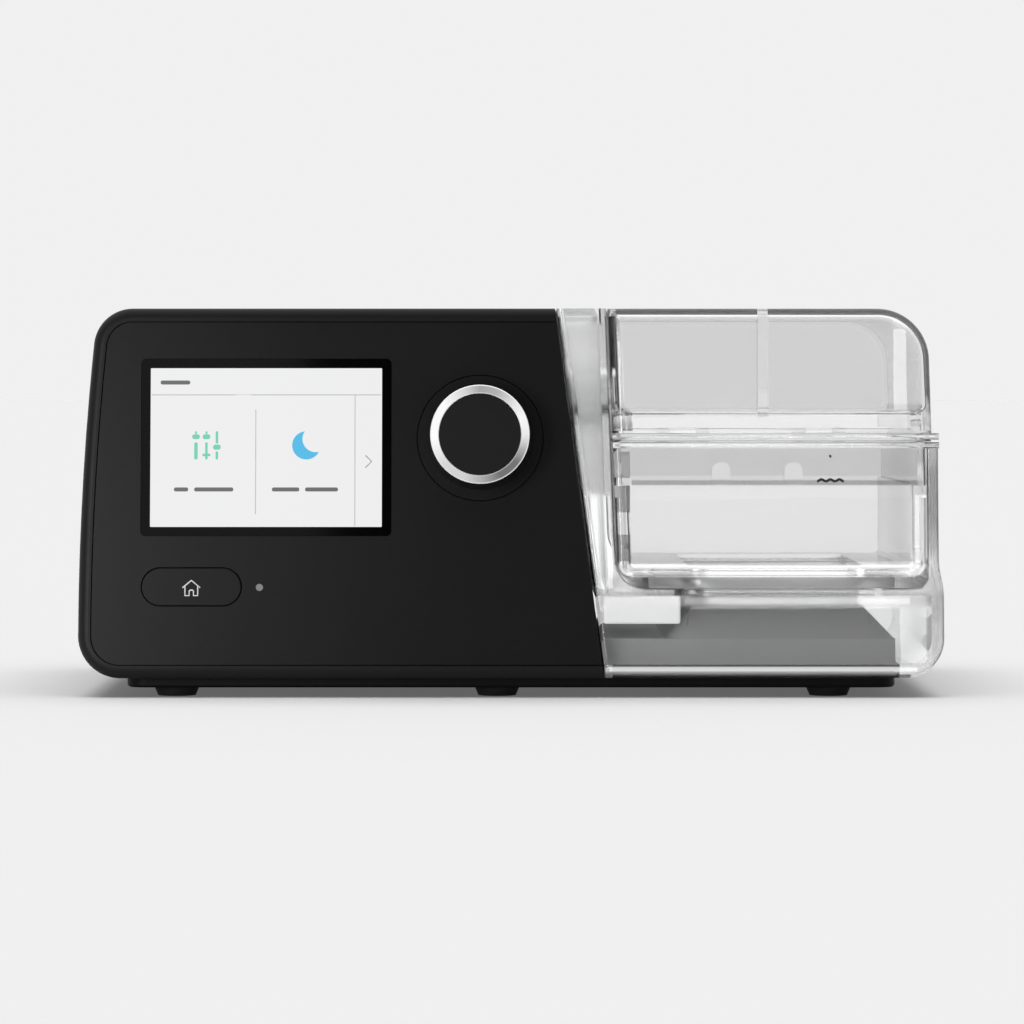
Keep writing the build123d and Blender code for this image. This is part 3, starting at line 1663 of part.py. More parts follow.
with BuildPart() as chamber_tub:
    add(tub_solid)
    below_flange = front_and_rear(chamber_tub).filter_by(lambda edge: edge.center().Z < lip_top_z)
    fillet(below_flange, radius=tub_edge_r)
    add(tub_flange)
    add(tub_lip)
    add(tub_foot)
    add(foot_hollow, mode=Mode.SUBTRACT)
    add(tub_lower.part, mode=Mode.SUBTRACT)
    add(tub_upper, mode=Mode.SUBTRACT)
    add(lugs)
    add(wall_blocks)
    with BuildSketch(Plane.XY.offset(tub_low_z)):
        with Locations(step_centre):
            RectangleRounded(tray_length, tray_depth, tray_corner_r)
    extrude(amount=2 * tub_wall, mode=Mode.SUBTRACT)
    add(tub_ears)
    add(ear_bore, mode=Mode.SUBTRACT)
save(chamber_tub.part, "chamber_tub")

with BuildPart() as hinge_pins:
    for x in hinge_columns:
        with BuildSketch(Plane.YZ.offset(x - ear_shift - ear_length / 2)):
            with Locations((hinge_y, hinge_z)):
                Circle(hinge_pin_r)
        extrude(amount=2 * ear_shift + ear_length)
save(hinge_pins.part, "hinge_pins")

tray_low_z = plate_top_z + plate_gap
tray_seal_z = tub_low_z - tray_seal_thickness - seat_gap
tray_rim_z = tray_seal_z - seat_gap

with BuildPart() as metal_tray:
    with BuildSketch(Plane.XY.offset(tray_low_z)):
        with Locations(step_centre):
            RectangleRounded(tray_length, tray_depth, tray_corner_r)
    extrude(amount=tray_rim_z - tray_low_z)
    with BuildSketch(Plane.XY.offset(tray_rim_z - tray_thickness)):
        with Locations(step_centre):
            RectangleRounded(tray_length + tray_margin, tray_depth + tray_margin, tray_corner_r)
    extrude(amount=tray_thickness)
    with BuildSketch(Plane.XY.offset(tray_low_z + tray_thickness)):
        with Locations(step_centre):
            RectangleRounded(
                tray_length - 2 * tray_thickness,
                tray_depth - 2 * tray_thickness,
                tray_corner_r - tray_thickness,
            )
    extrude(amount=tray_rim_z - tray_low_z, mode=Mode.SUBTRACT)
save(metal_tray.part, "metal_tray")

with BuildPart() as tray_seal:
    with BuildSketch(Plane.XY.offset(tray_seal_z)):
        with Locations(step_centre):
            RectangleRounded(tray_length + tray_margin, tray_depth + tray_margin, tray_corner_r)
            RectangleRounded(tray_length, tray_depth, tray_corner_r, mode=Mode.SUBTRACT)
    extrude(amount=tray_seal_thickness)
save(tray_seal.part, "tray_seal")

# ------------------------------------------------------------------
# clear lid with its seal
# ------------------------------------------------------------------


def lid_outline(inset, low_z, low_r=0.0):
    # lid cross-section: slanted left side, large upper right corner
    left_shift = half_seam + inset
    top_z = height - inset
    with BuildSketch() as outline:
        with BuildLine():
            Polyline(
                (seam_x(low_z) + left_shift, low_z),
                (lid_right_x - inset, low_z),
                (lid_right_x - lid_lean_in - inset, top_z),
                (seam_x(top_z) + left_shift, top_z),
                close=True,
            )
        make_face()
        fillet(outline.vertices().sort_by(SortBy.DISTANCE)[-1], radius=lid_corner_r - inset)
        if low_r:
            fillet(outline.vertices().group_by(Axis.Y)[0], radius=low_r)
    return outline.sketch


shelf_top_z = shelf_z + shelf_thickness
shelf_inset = clear_wall + shelf_width
lid_solid = run_back(lid_outline(0, lid_flange_z), 0, rear_y)

with BuildPart() as lid_hollow:
    add(run_back(lid_outline(clear_wall, shelf_top_z, lid_window_r), clear_wall, rear_y - clear_wall))
    fillet(front_and_rear(lid_hollow), radius=lid_inner_r)

lid_mouth = run_back(
    seam_band(lid_right_x - clear_wall, lid_flange_z - clear_wall, shelf_z, clear_wall),
    clear_wall,
    rear_y - clear_wall,
)
lid_flange = round_flange(lid_flange_z, lid_low_z)
shelf_window = run_back(
    seam_band(lid_right_x - shelf_inset, shelf_z - clear_wall, shelf_top_z + lid_window_r, shelf_inset),
    shelf_inset,
    rear_y - shelf_inset,
)
rib_left_x = lid_rib_x - lid_rib_width / 2
rib_top_z = height - clear_wall / 2
lid_rib = run_back(
    side_profile(rib_left_x, rib_left_x + lid_rib_width, shelf_top_z - clear_wall / 2, rib_top_z),
    clear_wall / 2,
    face_y(shelf_z) + clear_wall + lid_rib_depth,
)
lid_bore = hinge_bore(hinge_pin_r + 2 * run_gap)

with BuildPart() as chamber_lid:
    add(lid_solid)
    above_flange = front_and_rear(chamber_lid).filter_by(lambda edge: edge.center().Z > lid_low_z)
    fillet(above_flange, radius=lid_edge_r)
    add(lid_flange)
    add(lid_hollow.part, mode=Mode.SUBTRACT)
    add(lid_mouth, mode=Mode.SUBTRACT)
    add(shelf_window, mode=Mode.SUBTRACT)
    add(lid_rib)
    add(lid_knuckles)
    add(lid_bore, mode=Mode.SUBTRACT)
    with BuildSketch(Plane.YZ.offset(seam_top_x - half_seam)):
        with Locations(port_places):
            Circle(port_r)
    extrude(amount=2 * clear_wall + seam_low_x - seam_top_x, mode=Mode.SUBTRACT)
save(chamber_lid.part, "chamber_lid")

seal_top_z = lid_flange_z - seat_gap
seal_low_z = seal_top_z - seal_thickness
seal_outer = run_back(seam_band(lid_right_x - seal_thickness, seal_low_z, seal_top_z, seal_thickness),
                      seal_thickness, rear_y - seal_thickness)
seal_inset = seal_thickness + seal_width
seal_inner = run_back(seam_band(lid_right_x - seal_inset, seal_low_z, seal_top_z, seal_inset),
                      seal_inset, rear_y - seal_inset)

with BuildPart() as lid_seal:
    add(seal_outer)
    add(seal_inner, mode=Mode.SUBTRACT)
save(lid_seal.part, "lid_seal")
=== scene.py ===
import json
import math

import bpy
from mathutils import Matrix, Vector


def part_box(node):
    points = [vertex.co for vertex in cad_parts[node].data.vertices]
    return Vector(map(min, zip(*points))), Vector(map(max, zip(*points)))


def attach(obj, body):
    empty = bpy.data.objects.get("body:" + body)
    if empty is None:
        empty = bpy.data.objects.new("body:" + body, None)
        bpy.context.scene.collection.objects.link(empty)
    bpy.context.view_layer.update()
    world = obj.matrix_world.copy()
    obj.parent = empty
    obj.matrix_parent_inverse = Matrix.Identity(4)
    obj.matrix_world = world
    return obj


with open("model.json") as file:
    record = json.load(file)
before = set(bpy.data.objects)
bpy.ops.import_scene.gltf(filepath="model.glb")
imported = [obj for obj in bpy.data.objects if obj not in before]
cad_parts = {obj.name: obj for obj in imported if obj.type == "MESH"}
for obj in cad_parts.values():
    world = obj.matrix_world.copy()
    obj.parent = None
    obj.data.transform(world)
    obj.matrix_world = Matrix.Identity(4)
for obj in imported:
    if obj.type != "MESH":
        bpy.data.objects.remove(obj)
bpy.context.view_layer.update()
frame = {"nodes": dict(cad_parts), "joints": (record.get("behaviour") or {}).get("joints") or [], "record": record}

nodes = frame["nodes"]
joints = {joint["name"]: joint for joint in frame["joints"]}
slotOf = {part["node"]: part["material_slot"] for part in frame["record"]["subparts"]}
mm = 0.001
white = (1.0, 1.0, 1.0, 1.0)
unlit = (0.0, 0.0, 0.0, 1.0)
print("frame loaded:", len(nodes), "nodes")

# ---- shader groups that the finishes share ----


def newGroup(name, numbers, colours, outputs):
    group = bpy.data.node_groups.new(name, "ShaderNodeTree")
    for label, value in numbers.items():
        socket = group.interface.new_socket(label, in_out="INPUT", socket_type="NodeSocketFloat")
        socket.default_value = value
    for label in colours:
        group.interface.new_socket(label, in_out="INPUT", socket_type="NodeSocketColor")
    for label, kind in outputs.items():
        group.interface.new_socket(label, in_out="OUTPUT", socket_type=kind)
    source = group.nodes.new("NodeGroupInput")
    sink = group.nodes.new("NodeGroupOutput")
    return group, source, sink


def addNode(tree, kind, inputs=None, **settings):
    node = tree.nodes.new(kind)
    for label, value in settings.items():
        setattr(node, label, value)
    for label, value in (inputs or {}).items():
        if isinstance(value, bpy.types.NodeSocket):
            tree.links.new(value, node.inputs[label])
        else:
            node.inputs[label].default_value = value
    return node


def addSpread(tree, value, low, high):
    # value 0..1 spread to low..high
    spread = addNode(tree, "ShaderNodeMapRange", {"Value": value, "To Min": low, "To Max": high})
    return spread.outputs["Result"]


def addMath(tree, operation, *values):
    return addNode(tree, "ShaderNodeMath", dict(enumerate(values)), operation=operation).outputs[0]


def addVectorMath(tree, operation, first, second, output="Vector"):
    return addNode(tree, "ShaderNodeVectorMath", {0: first, 1: second}, operation=operation).outputs[output]


def addMix(tree, kind, factor, first, second):
    node = addNode(tree, "ShaderNodeMix", {"Factor": factor, "A": first, "B": second}, data_type=kind)
    return node.outputs["Result"]


def makeMouldedGroup():
    # sand-textured moulding: fine grain, slow drift in gloss and shade
    group, source, sink = newGroup(
        "mouldedSurface",
        {"Grain Scale": 2600.0, "Gloss Low": 0.4, "Gloss High": 0.5},
        ("Shade Low", "Shade High"),
        {"Color": "NodeSocketColor", "Roughness": "NodeSocketFloat", "Height": "NodeSocketFloat"},
    )
    place = addNode(group, "ShaderNodeTexCoord").outputs["Object"]
    grainScale = source.outputs["Grain Scale"]
    grain = addNode(group, "ShaderNodeTexNoise", {"Vector": place, "Scale": grainScale, "Detail": 2.0})
    drift = addNode(group, "ShaderNodeTexNoise", {"Vector": place, "Scale": 18.0, "Detail": 3.0})
    blend = addMath(group, "MULTIPLY", grain.outputs["Fac"], drift.outputs["Fac"])
    shade = addSpread(group, blend, 0.0, 3.0)
    tintAndPaintedShade = addMix(group, "RGBA", shade, source.outputs["Shade Low"], source.outputs["Shade High"])
    gloss = addSpread(group, drift.outputs["Fac"], source.outputs["Gloss Low"], source.outputs["Gloss High"])
    group.links.new(tintAndPaintedShade, sink.inputs["Color"])
    group.links.new(gloss, sink.inputs["Roughness"])
    group.links.new(grain.outputs["Fac"], sink.inputs["Height"])
    return group


def makeBrushedGroup():
    # fine lines left by turning, drawing or grinding
    group, source, sink = newGroup(
        "brushedLines",
        {
            "Line Scale": 900.0, "Stretch X": 1.0, "Stretch Y": 1.0, "Stretch Z": 1.0,
            "Gloss Low": 0.2, "Gloss High": 0.35,
        },
        ("Shade Low", "Shade High"),
        {"Color": "NodeSocketColor", "Roughness": "NodeSocketFloat", "Height": "NodeSocketFloat"},
    )
    place = addNode(group, "ShaderNodeTexCoord").outputs["Object"]
    stretch = addNode(
        group, "ShaderNodeCombineXYZ",
        {axis: source.outputs["Stretch " + axis] for axis in "XYZ"},
    )
    drawn = addVectorMath(group, "MULTIPLY", place, stretch.outputs[0])
    lineScale = source.outputs["Line Scale"]
    lines = addNode(group, "ShaderNodeTexNoise", {"Vector": drawn, "Scale": lineScale, "Detail": 3.0})
    depth = lines.outputs["Fac"]
    tintAndPaintedShade = addMix(group, "RGBA", depth, source.outputs["Shade Low"], source.outputs["Shade High"])
    gloss = addSpread(group, depth, source.outputs["Gloss Low"], source.outputs["Gloss High"])
    group.links.new(tintAndPaintedShade, sink.inputs["Color"])
    group.links.new(gloss, sink.inputs["Roughness"])
    group.links.new(depth, sink.inputs["Height"])
    return group


def makeClearGroup():
    # clear moulding: polished at the front, hazy further back, with a slow ripple
    group, source, sink = newGroup(
        "clearMoulding",
        {"Clear Gloss": 0.02, "Hazy Gloss": 0.2, "Haze From": -0.07, "Haze To": -0.02, "Ripple Scale": 40.0},
        (),
        {"Roughness": "NodeSocketFloat", "Height": "NodeSocketFloat"},
    )
    place = addNode(group, "ShaderNodeTexCoord").outputs["Object"]
    parts = addNode(group, "ShaderNodeSeparateXYZ", {"Vector": place})
    haze = addNode(
        group, "ShaderNodeMapRange",
        {
            "Value": parts.outputs["Y"],
            "From Min": source.outputs["Haze From"], "From Max": source.outputs["Haze To"],
            "To Min": source.outputs["Clear Gloss"], "To Max": source.outputs["Hazy Gloss"],
        },
    )
    rippleScale = source.outputs["Ripple Scale"]
    ripple = addNode(group, "ShaderNodeTexNoise", {"Vector": place, "Scale": rippleScale, "Detail": 1.0})
    group.links.new(haze.outputs["Result"], sink.inputs["Roughness"])
    group.links.new(ripple.outputs["Fac"], sink.inputs["Height"])
    return group


def makeZoneGroup():
    # mask of a box in the object's own coordinates, with soft upper and lower ends
    group, source, sink = newGroup(
        "zoneMask",
        {"Left": -1.0, "Right": 1.0, "Rear": 1.0, "Low": 0.0, "Top": 1.0, "Soft": 0.0001},
        (),
        {"Mask": "NodeSocketFloat"},
    )
    place = addNode(group, "ShaderNodeTexCoord").outputs["Object"]
    parts = addNode(group, "ShaderNodeSeparateXYZ", {"Vector": place})
    inside = addMath(group, "GREATER_THAN", parts.outputs["X"], source.outputs["Left"])
    for axis, limit in (("X", "Right"), ("Y", "Rear")):
        below = addMath(group, "LESS_THAN", parts.outputs[axis], source.outputs[limit])
        inside = addMath(group, "MULTIPLY", inside, below)
    up = parts.outputs["Z"]
    for high, low in ((up, source.outputs["Low"]), (source.outputs["Top"], up)):
        gap = addMath(group, "SUBTRACT", high, low)
        ramp = addNode(
            group, "ShaderNodeMapRange", {"Value": gap, "From Min": 0.0, "From Max": source.outputs["Soft"]},
            interpolation_type="SMOOTHSTEP",
        )
        inside = addMath(group, "MULTIPLY", inside, ramp.outputs["Result"])
    group.links.new(inside, sink.inputs["Mask"])
    return group


mouldedGroup = makeMouldedGroup()
brushedGroup = makeBrushedGroup()
clearGroup = makeClearGroup()
zoneGroup = makeZoneGroup()
lineDepth = 0.00001
rippleDepth = 0.00004


def rgba(shade):
    return (*shade, 1.0) if len(shade) == 3 else shade


def grey(tone):
    return (tone, tone, tone, 1.0)


def newFinish(name):
    finish = bpy.data.materials.new(name)
    finish.use_nodes = True
    tree = finish.node_tree
    return finish, tree, tree.nodes["Principled BSDF"]


def addBump(tree, shader, height, depth):
    bump = addNode(tree, "ShaderNodeBump", {"Height": height, "Distance": depth, "Strength": 1.0})
    tree.links.new(bump.outputs["Normal"], shader.inputs["Normal"])


def addSurface(tree, shader, nodeGroup, settings, low, high, gloss, depth):
    # colour, roughness and bump from one of the shared groups
    inputs = {
        **settings,
        "Gloss Low": gloss[0], "Gloss High": gloss[1],
        "Shade Low": rgba(low), "Shade High": rgba(high),
    }
    group = addNode(tree, "ShaderNodeGroup", node_tree=nodeGroup)
    for label, value in inputs.items():
        group.inputs[label].default_value = value
    tree.links.new(group.outputs["Color"], shader.inputs["Base Color"])
    tree.links.new(group.outputs["Roughness"], shader.inputs["Roughness"])
    addBump(tree, shader, group.outputs["Height"], depth)
    return group


def mouldedFinish(name, low, high, gloss, grainScale=2600.0, grainDepth=0.00003, shine=0.5, glow=0.0):
    finish, tree, shader = newFinish(name)
    group = addSurface(tree, shader, mouldedGroup, {"Grain Scale": grainScale}, low, high, gloss, grainDepth)
    shader.inputs["Specular IOR Level"].default_value = shine
    if glow:  # painted glow: the piece shines with its own colour though no lamp is in it
        tree.links.new(group.outputs["Color"], shader.inputs["Emission Color"])
        shader.inputs["Emission Strength"].default_value = glow
    return finish


def metalFinish(name, low, high, gloss, stretch):
    finish, tree, shader = newFinish(name)
    settings = dict(zip(("Stretch X", "Stretch Y", "Stretch Z"), stretch))
    addSurface(tree, shader, brushedGroup, settings, low, high, gloss, lineDepth)
    shader.inputs["Metallic"].default_value = 1.0
    return finish


acrylicIor = 1.49
pixelDrift = 0.985
inkDrift = 0.92
clearHaze = (-0.07, -0.03)  # along Y: polished in front of the first, hazy behind the second
frontRear = -60.0  # millimetres: zones of the front wall end here


def makePaintedLightZone(tintAndPaintedShade, gloss=None, glow=None, **limits):
    # box within a clear piece, its limits in millimetres; its tint is painted shade, its glow a painted highlight
    box = {label.capitalize(): limit * mm for label, limit in limits.items()}
    return {"limits": box, "tintAndPaintedShade": tintAndPaintedShade, "gloss": gloss, "glow": glow}


def frontPaintedLightZone(tintAndPaintedShade, **settings):
    return makePaintedLightZone(tintAndPaintedShade, rear=frontRear, **settings)


def clearFinish(name, tintAndPaintedShade, clearGloss, hazyGloss, haze=clearHaze, paintedLightZones=()):
    # each zone paints shade through its own tint, may be hazier than the rest, and may add a painted highlight as
    # a glow
    finish, tree, shader = newFinish(name)
    group = addNode(tree, "ShaderNodeGroup", node_tree=clearGroup)
    group.inputs["Clear Gloss"].default_value = clearGloss
    group.inputs["Hazy Gloss"].default_value = hazyGloss
    group.inputs["Haze From"].default_value = haze[0]
    group.inputs["Haze To"].default_value = haze[1]
    colourWithPaintedShade = rgba(tintAndPaintedShade)
    roughness = group.outputs["Roughness"]
    glow = None
    for paintedZone in paintedLightZones:
        mask = addNode(tree, "ShaderNodeGroup", paintedZone["limits"], node_tree=zoneGroup).outputs["Mask"]
        colourWithPaintedShade = addMix(tree, "RGBA", mask, colourWithPaintedShade, grey(paintedZone["tintAndPaintedShade"]))
        if paintedZone["gloss"] is not None:
            roughness = addMix(tree, "FLOAT", mask, roughness, paintedZone["gloss"])
        if paintedZone["glow"] is not None:
            glow = addMix(tree, "RGBA", mask, glow or unlit, grey(paintedZone["glow"]))
    if glow:
        tree.links.new(glow, shader.inputs["Emission Color"])
        shader.inputs["Emission Strength"].default_value = 1.0
    if paintedLightZones:
        tree.links.new(colourWithPaintedShade, shader.inputs["Base Color"])
    else:
        shader.inputs["Base Color"].default_value = colourWithPaintedShade
    tree.links.new(roughness, shader.inputs["Roughness"])
    addBump(tree, shader, group.outputs["Height"], rippleDepth)
    shader.inputs["Transmission Weight"].default_value = 1.0
    shader.inputs["IOR"].default_value = acrylicIor
    return finish


def litFinish(name, glow, strength=1.0):
    # part of the lit picture: a faint pixel pattern over an even glow
    finish, tree, shader = newFinish(name)
    place = addNode(tree, "ShaderNodeTexCoord").outputs["Object"]
    pixels = addNode(tree, "ShaderNodeTexNoise", {"Vector": place, "Scale": 5200.0, "Detail": 0.0})
    low = tuple(pixelDrift * part for part in glow)
    tintAndPaintedShade = addMix(tree, "RGBA", pixels.outputs["Fac"], rgba(low), rgba(glow))
    tree.links.new(tintAndPaintedShade, shader.inputs["Emission Color"])
    shader.inputs["Emission Strength"].default_value = strength
    shader.inputs["Base Color"].default_value = grey(0.01)
    shader.inputs["Roughness"].default_value = 0.08
    return finish


def ringPaintedReflectionFinish(name, centre, outward):
    # turned and polished metal with painted reflection: tones are painted in a fan round the knob's axis, and both
    # edges carry painted highlights
    paintedEdgeInner = 0.4 * mm
    paintedEdgeOuter = 0.15 * mm
    ringLow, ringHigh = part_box("knob_ring")
    capLow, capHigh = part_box("knob_cap")
    ringMiddle = (ringHigh[0] - ringLow[0] + capHigh[0] - capLow[0]) / 4
    ringHalf = (ringHigh[0] - ringLow[0] - capHigh[0] + capLow[0]) / 4
    finish, tree, shader = newFinish(name)
    place = addNode(tree, "ShaderNodeTexCoord").outputs["Object"]
    centred = addNode(tree, "ShaderNodeMapping", {"Vector": place, "Location": -centre})
    upright = (math.radians(90), 0, 0)
    turned = addNode(tree, "ShaderNodeMapping", {"Vector": centred.outputs["Vector"], "Rotation": upright})
    # painted reflection: the base colour changes by angle round the knob's axis
    fan = addNode(tree, "ShaderNodeTexGradient", {"Vector": turned.outputs["Vector"]}, gradient_type="RADIAL")
    ramp = addNode(tree, "ShaderNodeValToRGB", {"Fac": fan.outputs["Fac"]})
    paintedReflectionTones = (  # painted reflection tones, round from the left over the top
        (0.0, 1.0), (0.12, 1.0), (0.2, 0.7), (0.25, 0.4), (0.31, 0.48), (0.38, 0.85), (0.43, 1.0),
        (0.49, 0.85), (0.54, 0.45), (0.59, 0.19), (0.67, 0.18), (0.74, 0.42), (0.81, 0.66), (0.9, 0.7),
        (1.0, 1.0),
    )
    points = ramp.color_ramp.elements
    while len(points) < len(paintedReflectionTones):
        points.new(0.5)
    for point, (position, tone) in zip(points, paintedReflectionTones):
        point.position = position
        point.color = (tone, tone, tone * 1.01, 1.0)
    flat = addVectorMath(tree, "DOT_PRODUCT", centred.outputs["Vector"], outward, "Value")
    along = addNode(tree, "ShaderNodeVectorMath", {0: outward, "Scale": flat}, operation="SCALE")
    across = addVectorMath(tree, "SUBTRACT", centred.outputs["Vector"], along.outputs["Vector"])
    reach = addNode(tree, "ShaderNodeVectorMath", {0: across}, operation="LENGTH")
    off = addMath(tree, "ABSOLUTE", addMath(tree, "SUBTRACT", reach.outputs["Value"], ringMiddle))
    # painted highlights: both edges of the ring are painted near white over the painted reflection
    paintedEdgeHighlight = addNode(
        tree, "ShaderNodeMapRange",
        {"Value": off, "From Min": ringHalf - paintedEdgeInner, "From Max": ringHalf - paintedEdgeOuter},
    )
    shine = addMix(tree, "RGBA", paintedEdgeHighlight.outputs["Result"], ramp.outputs["Color"], (0.97, 0.97, 0.98, 1.0))
    tree.links.new(shine, shader.inputs["Base Color"])
    shader.inputs["Metallic"].default_value = 1.0
    shader.inputs["Roughness"].default_value = 0.22
    return finish


nearBlack = (0.0024, 0.0024, 0.0025)
softBlack = (0.004, 0.004, 0.0041)
knobCentre = Vector(joints["knob_turn"]["pos_m"])
inward = Vector(joints["knob_press"]["axis"]).normalized()

finishes = {  # low and high tone, gloss from and to; then grain scale and depth, or how far lines are drawn
    "black_shell": mouldedFinish("shellBlack", nearBlack, softBlack, (0.40, 0.5), shine=0.22),
    "black_panel": mouldedFinish("panelBlack", nearBlack, softBlack, (0.37, 0.44), 3200.0, 0.00002, 0.22),
    "black_base": mouldedFinish(
        "baseBlack", (0.002, 0.002, 0.002), (0.0032, 0.0032, 0.0032), (0.45, 0.55), shine=0.12
    ),
    "black_rubber": mouldedFinish(
        "footRubber", (0.008, 0.008, 0.008), (0.012, 0.012, 0.012), (0.6, 0.75), 1500.0, shine=0.24
    ),
    "steel": metalFinish("screwSteel", (0.42, 0.42, 0.43), (0.62, 0.62, 0.64), (0.22, 0.34), (1.0, 1.0, 8.0)),
    "screen_glass": mouldedFinish(
        "windowBlack", (0.0008, 0.0008, 0.0008), (0.0012, 0.0012, 0.0012), (0.03, 0.06), 60.0, 0.000001
    ),
    "screen": litFinish("lcdGlow", (0.7, 0.7, 0.7), 0.6),
    "bracket": mouldedFinish("bracketGrey", (0.26, 0.26, 0.27), (0.36, 0.36, 0.37), (0.45, 0.6)),
    "circuit_board": mouldedFinish(
        "boardGreen", (0.012, 0.09, 0.035), (0.03, 0.15, 0.06), (0.3, 0.45), 700.0
    ),
    "components": mouldedFinish(
        "componentBlack", (0.02, 0.02, 0.022), (0.05, 0.05, 0.05), (0.4, 0.6), 1200.0
    ),
    "knob_black": mouldedFinish(
        "knobBlack", (0.005, 0.005, 0.005), (0.007, 0.007, 0.007), (0.36, 0.46), 3600.0, 0.00001, 0.24
    ),
    "ring_metal": ringPaintedReflectionFinish("ringMetalPaintedReflection", knobCentre, -inward),
    "button_black": mouldedFinish("buttonBlack", nearBlack, softBlack, (0.38, 0.46), 3600.0, 0.00001, 0.22),
    "light_pipe": mouldedFinish("lightPipe", (0.17, 0.17, 0.17), (0.22, 0.22, 0.22), (0.3, 0.4)),
    "card": mouldedFinish("cardBlue", (0.01, 0.014, 0.03), (0.02, 0.03, 0.06), (0.4, 0.5)),
    "filter_fibre": mouldedFinish(
        "filterFibre", (0.55, 0.55, 0.54), (0.85, 0.85, 0.83), (0.85, 0.95), 1800.0, 0.0002
    ),
    "foam": mouldedFinish(
        "silencerFoam", (0.02, 0.02, 0.022), (0.09, 0.09, 0.095), (0.85, 0.95), 900.0, 0.0004
    ),
    "light_plastic": mouldedFinish("ductWhite", (0.5, 0.5, 0.5), (0.68, 0.68, 0.68), (0.4, 0.5)),
    "motor_metal": metalFinish(
        "motorZinc", (0.25, 0.25, 0.26), (0.45, 0.45, 0.46), (0.3, 0.45), (1.0, 1.0, 12.0)
    ),
    "clear_plastic": clearFinish("clearPlastic", (0.98, 0.985, 0.985), 0.015, 0.16),
    "grey_plastic": mouldedFinish("heaterGrey", (0.46, 0.46, 0.46), (0.52, 0.52, 0.52), (0.4, 0.5)),
    "heater_metal": metalFinish(
        "heaterMetal", (0.86, 0.86, 0.86), (0.95, 0.95, 0.95), (0.5, 0.6), (14.0, 1.0, 1.0)
    ),
    "tray_metal": metalFinish(
        "trayMetal", (0.55, 0.55, 0.56), (0.78, 0.78, 0.79), (0.16, 0.28), (10.0, 1.0, 1.0)
    ),
    # painted glow: the white catch glows by itself, standing in for a bright highlight
    "catch_plastic": mouldedFinish(
        "catchPaintedGlow", (0.88, 0.88, 0.88), (0.94, 0.94, 0.94), (0.4, 0.5), 900.0, glow=0.4
    ),
    "clear_seal": clearFinish("sealClear", (0.9, 0.91, 0.92), 0.35, 0.45, (-0.07, 0.0)),
}

# lid: painted shade over the top part, and a lighter painted highlight band down the right side
lidClearPaintedLight = clearFinish("lidClearPaintedLight", (0.98, 0.98, 0.985), 0.015, 0.14, paintedLightZones=(
    makePaintedLightZone(0.902, low=86.3, top=1000.0),
    frontPaintedLightZone(1.0, low=87.0, top=1000.0, left=117.2, right=121.3),
))
# tub: painted shade bands and dark painted blocks on the front, some haze low down, and painted highlights glowing
# along the bottom and the right side
tubClearPaintedLight = clearFinish("tubClearPaintedLight", (0.985, 0.985, 0.985), 0.015, 0.14, paintedLightZones=(
    makePaintedLightZone(0.85, low=64.8, top=76.0),
    frontPaintedLightZone(0.5, low=64.5, top=66.6, soft=0.6, left=37.0),
    frontPaintedLightZone(0.45, low=66.9, top=75.1, right=36.4),
    frontPaintedLightZone(0.24, low=56.5, top=64.7, right=36.4),
    frontPaintedLightZone(0.22, low=41.6, top=49.8, right=36.4),
    makePaintedLightZone(0.8, gloss=0.3, low=33.0, top=36.7),
    frontPaintedLightZone(0.95, glow=0.17, low=37.0, top=41.0, soft=0.8, left=35.5),
    frontPaintedLightZone(0.97, glow=0.1, low=41.0, top=62.0, soft=1.0, left=123.6),
))
# cradle: haze low in front and over the left column; painted shade on the right wall and a dark painted band along
# the bottom rim; painted highlights glowing under the deck and above the rim
cradleClearPaintedLight = clearFinish("cradleClearPaintedLight", (0.98, 0.985, 0.985), 0.015, 0.16, paintedLightZones=(
    frontPaintedLightZone(0.985, gloss=0.22, low=26.5, top=34.0, soft=2.0),
    makePaintedLightZone(0.54, low=40.0, top=74.0, soft=6.0, left=127.0),
    makePaintedLightZone(0.7, low=10.0, top=34.0, soft=3.0, left=128.6),
    frontPaintedLightZone(0.08, low=5.0, top=7.35, soft=0.3, left=31.0, right=122.0),
    frontPaintedLightZone(0.985, glow=0.1, low=27.9, top=31.0, soft=1.2, left=53.0, right=122.0),
    frontPaintedLightZone(0.98, glow=0.3, low=7.9, top=9.6, soft=0.4, left=30.0, right=124.0),
    frontPaintedLightZone(0.97, gloss=0.24, low=60.0, top=116.0, soft=4.0, right=31.0),
))
ownFinish = {
    "chamber_lid": lidClearPaintedLight, "chamber_tub": tubClearPaintedLight, "chamber_cradle": cradleClearPaintedLight,
    "hinge_pins": finishes["clear_plastic"],
}
for nodeName, node in nodes.items():
    finish = ownFinish.get(nodeName, finishes[slotOf[nodeName]])
    for materialSlot in node.material_slots:
        materialSlot.material = finish
print("finishes on the frame")

# ---- places on the frame and small shaping helpers ----

weldReach = 0.000001
roundSides = 96
cornerSteps = 8
strokeSteps = 3


def touchPlace(nodeName, x, z):
    # where a straight look from the front meets the node: x across, y up it, z out of it
    hit, spot, normal, _ = nodes[nodeName].ray_cast(Vector((x, -1.0, z)), Vector((0.0, 1.0, 0.0)))
    if not hit:
        raise ValueError(f"nothing of {nodeName} at {x}, {z}")
    across = Vector((1.0, 0.0, 0.0))
    up = normal.cross(across).normalized()
    across = up.cross(normal).normalized()
    turn = Matrix((across, up, normal)).transposed().to_4x4()
    return Matrix.Translation(spot) @ turn


def deselectAll():
    for thing in bpy.context.selected_objects:
        thing.select_set(False)


def only(piece):
    deselectAll()
    piece.select_set(True)
    bpy.context.view_layer.objects.active = piece


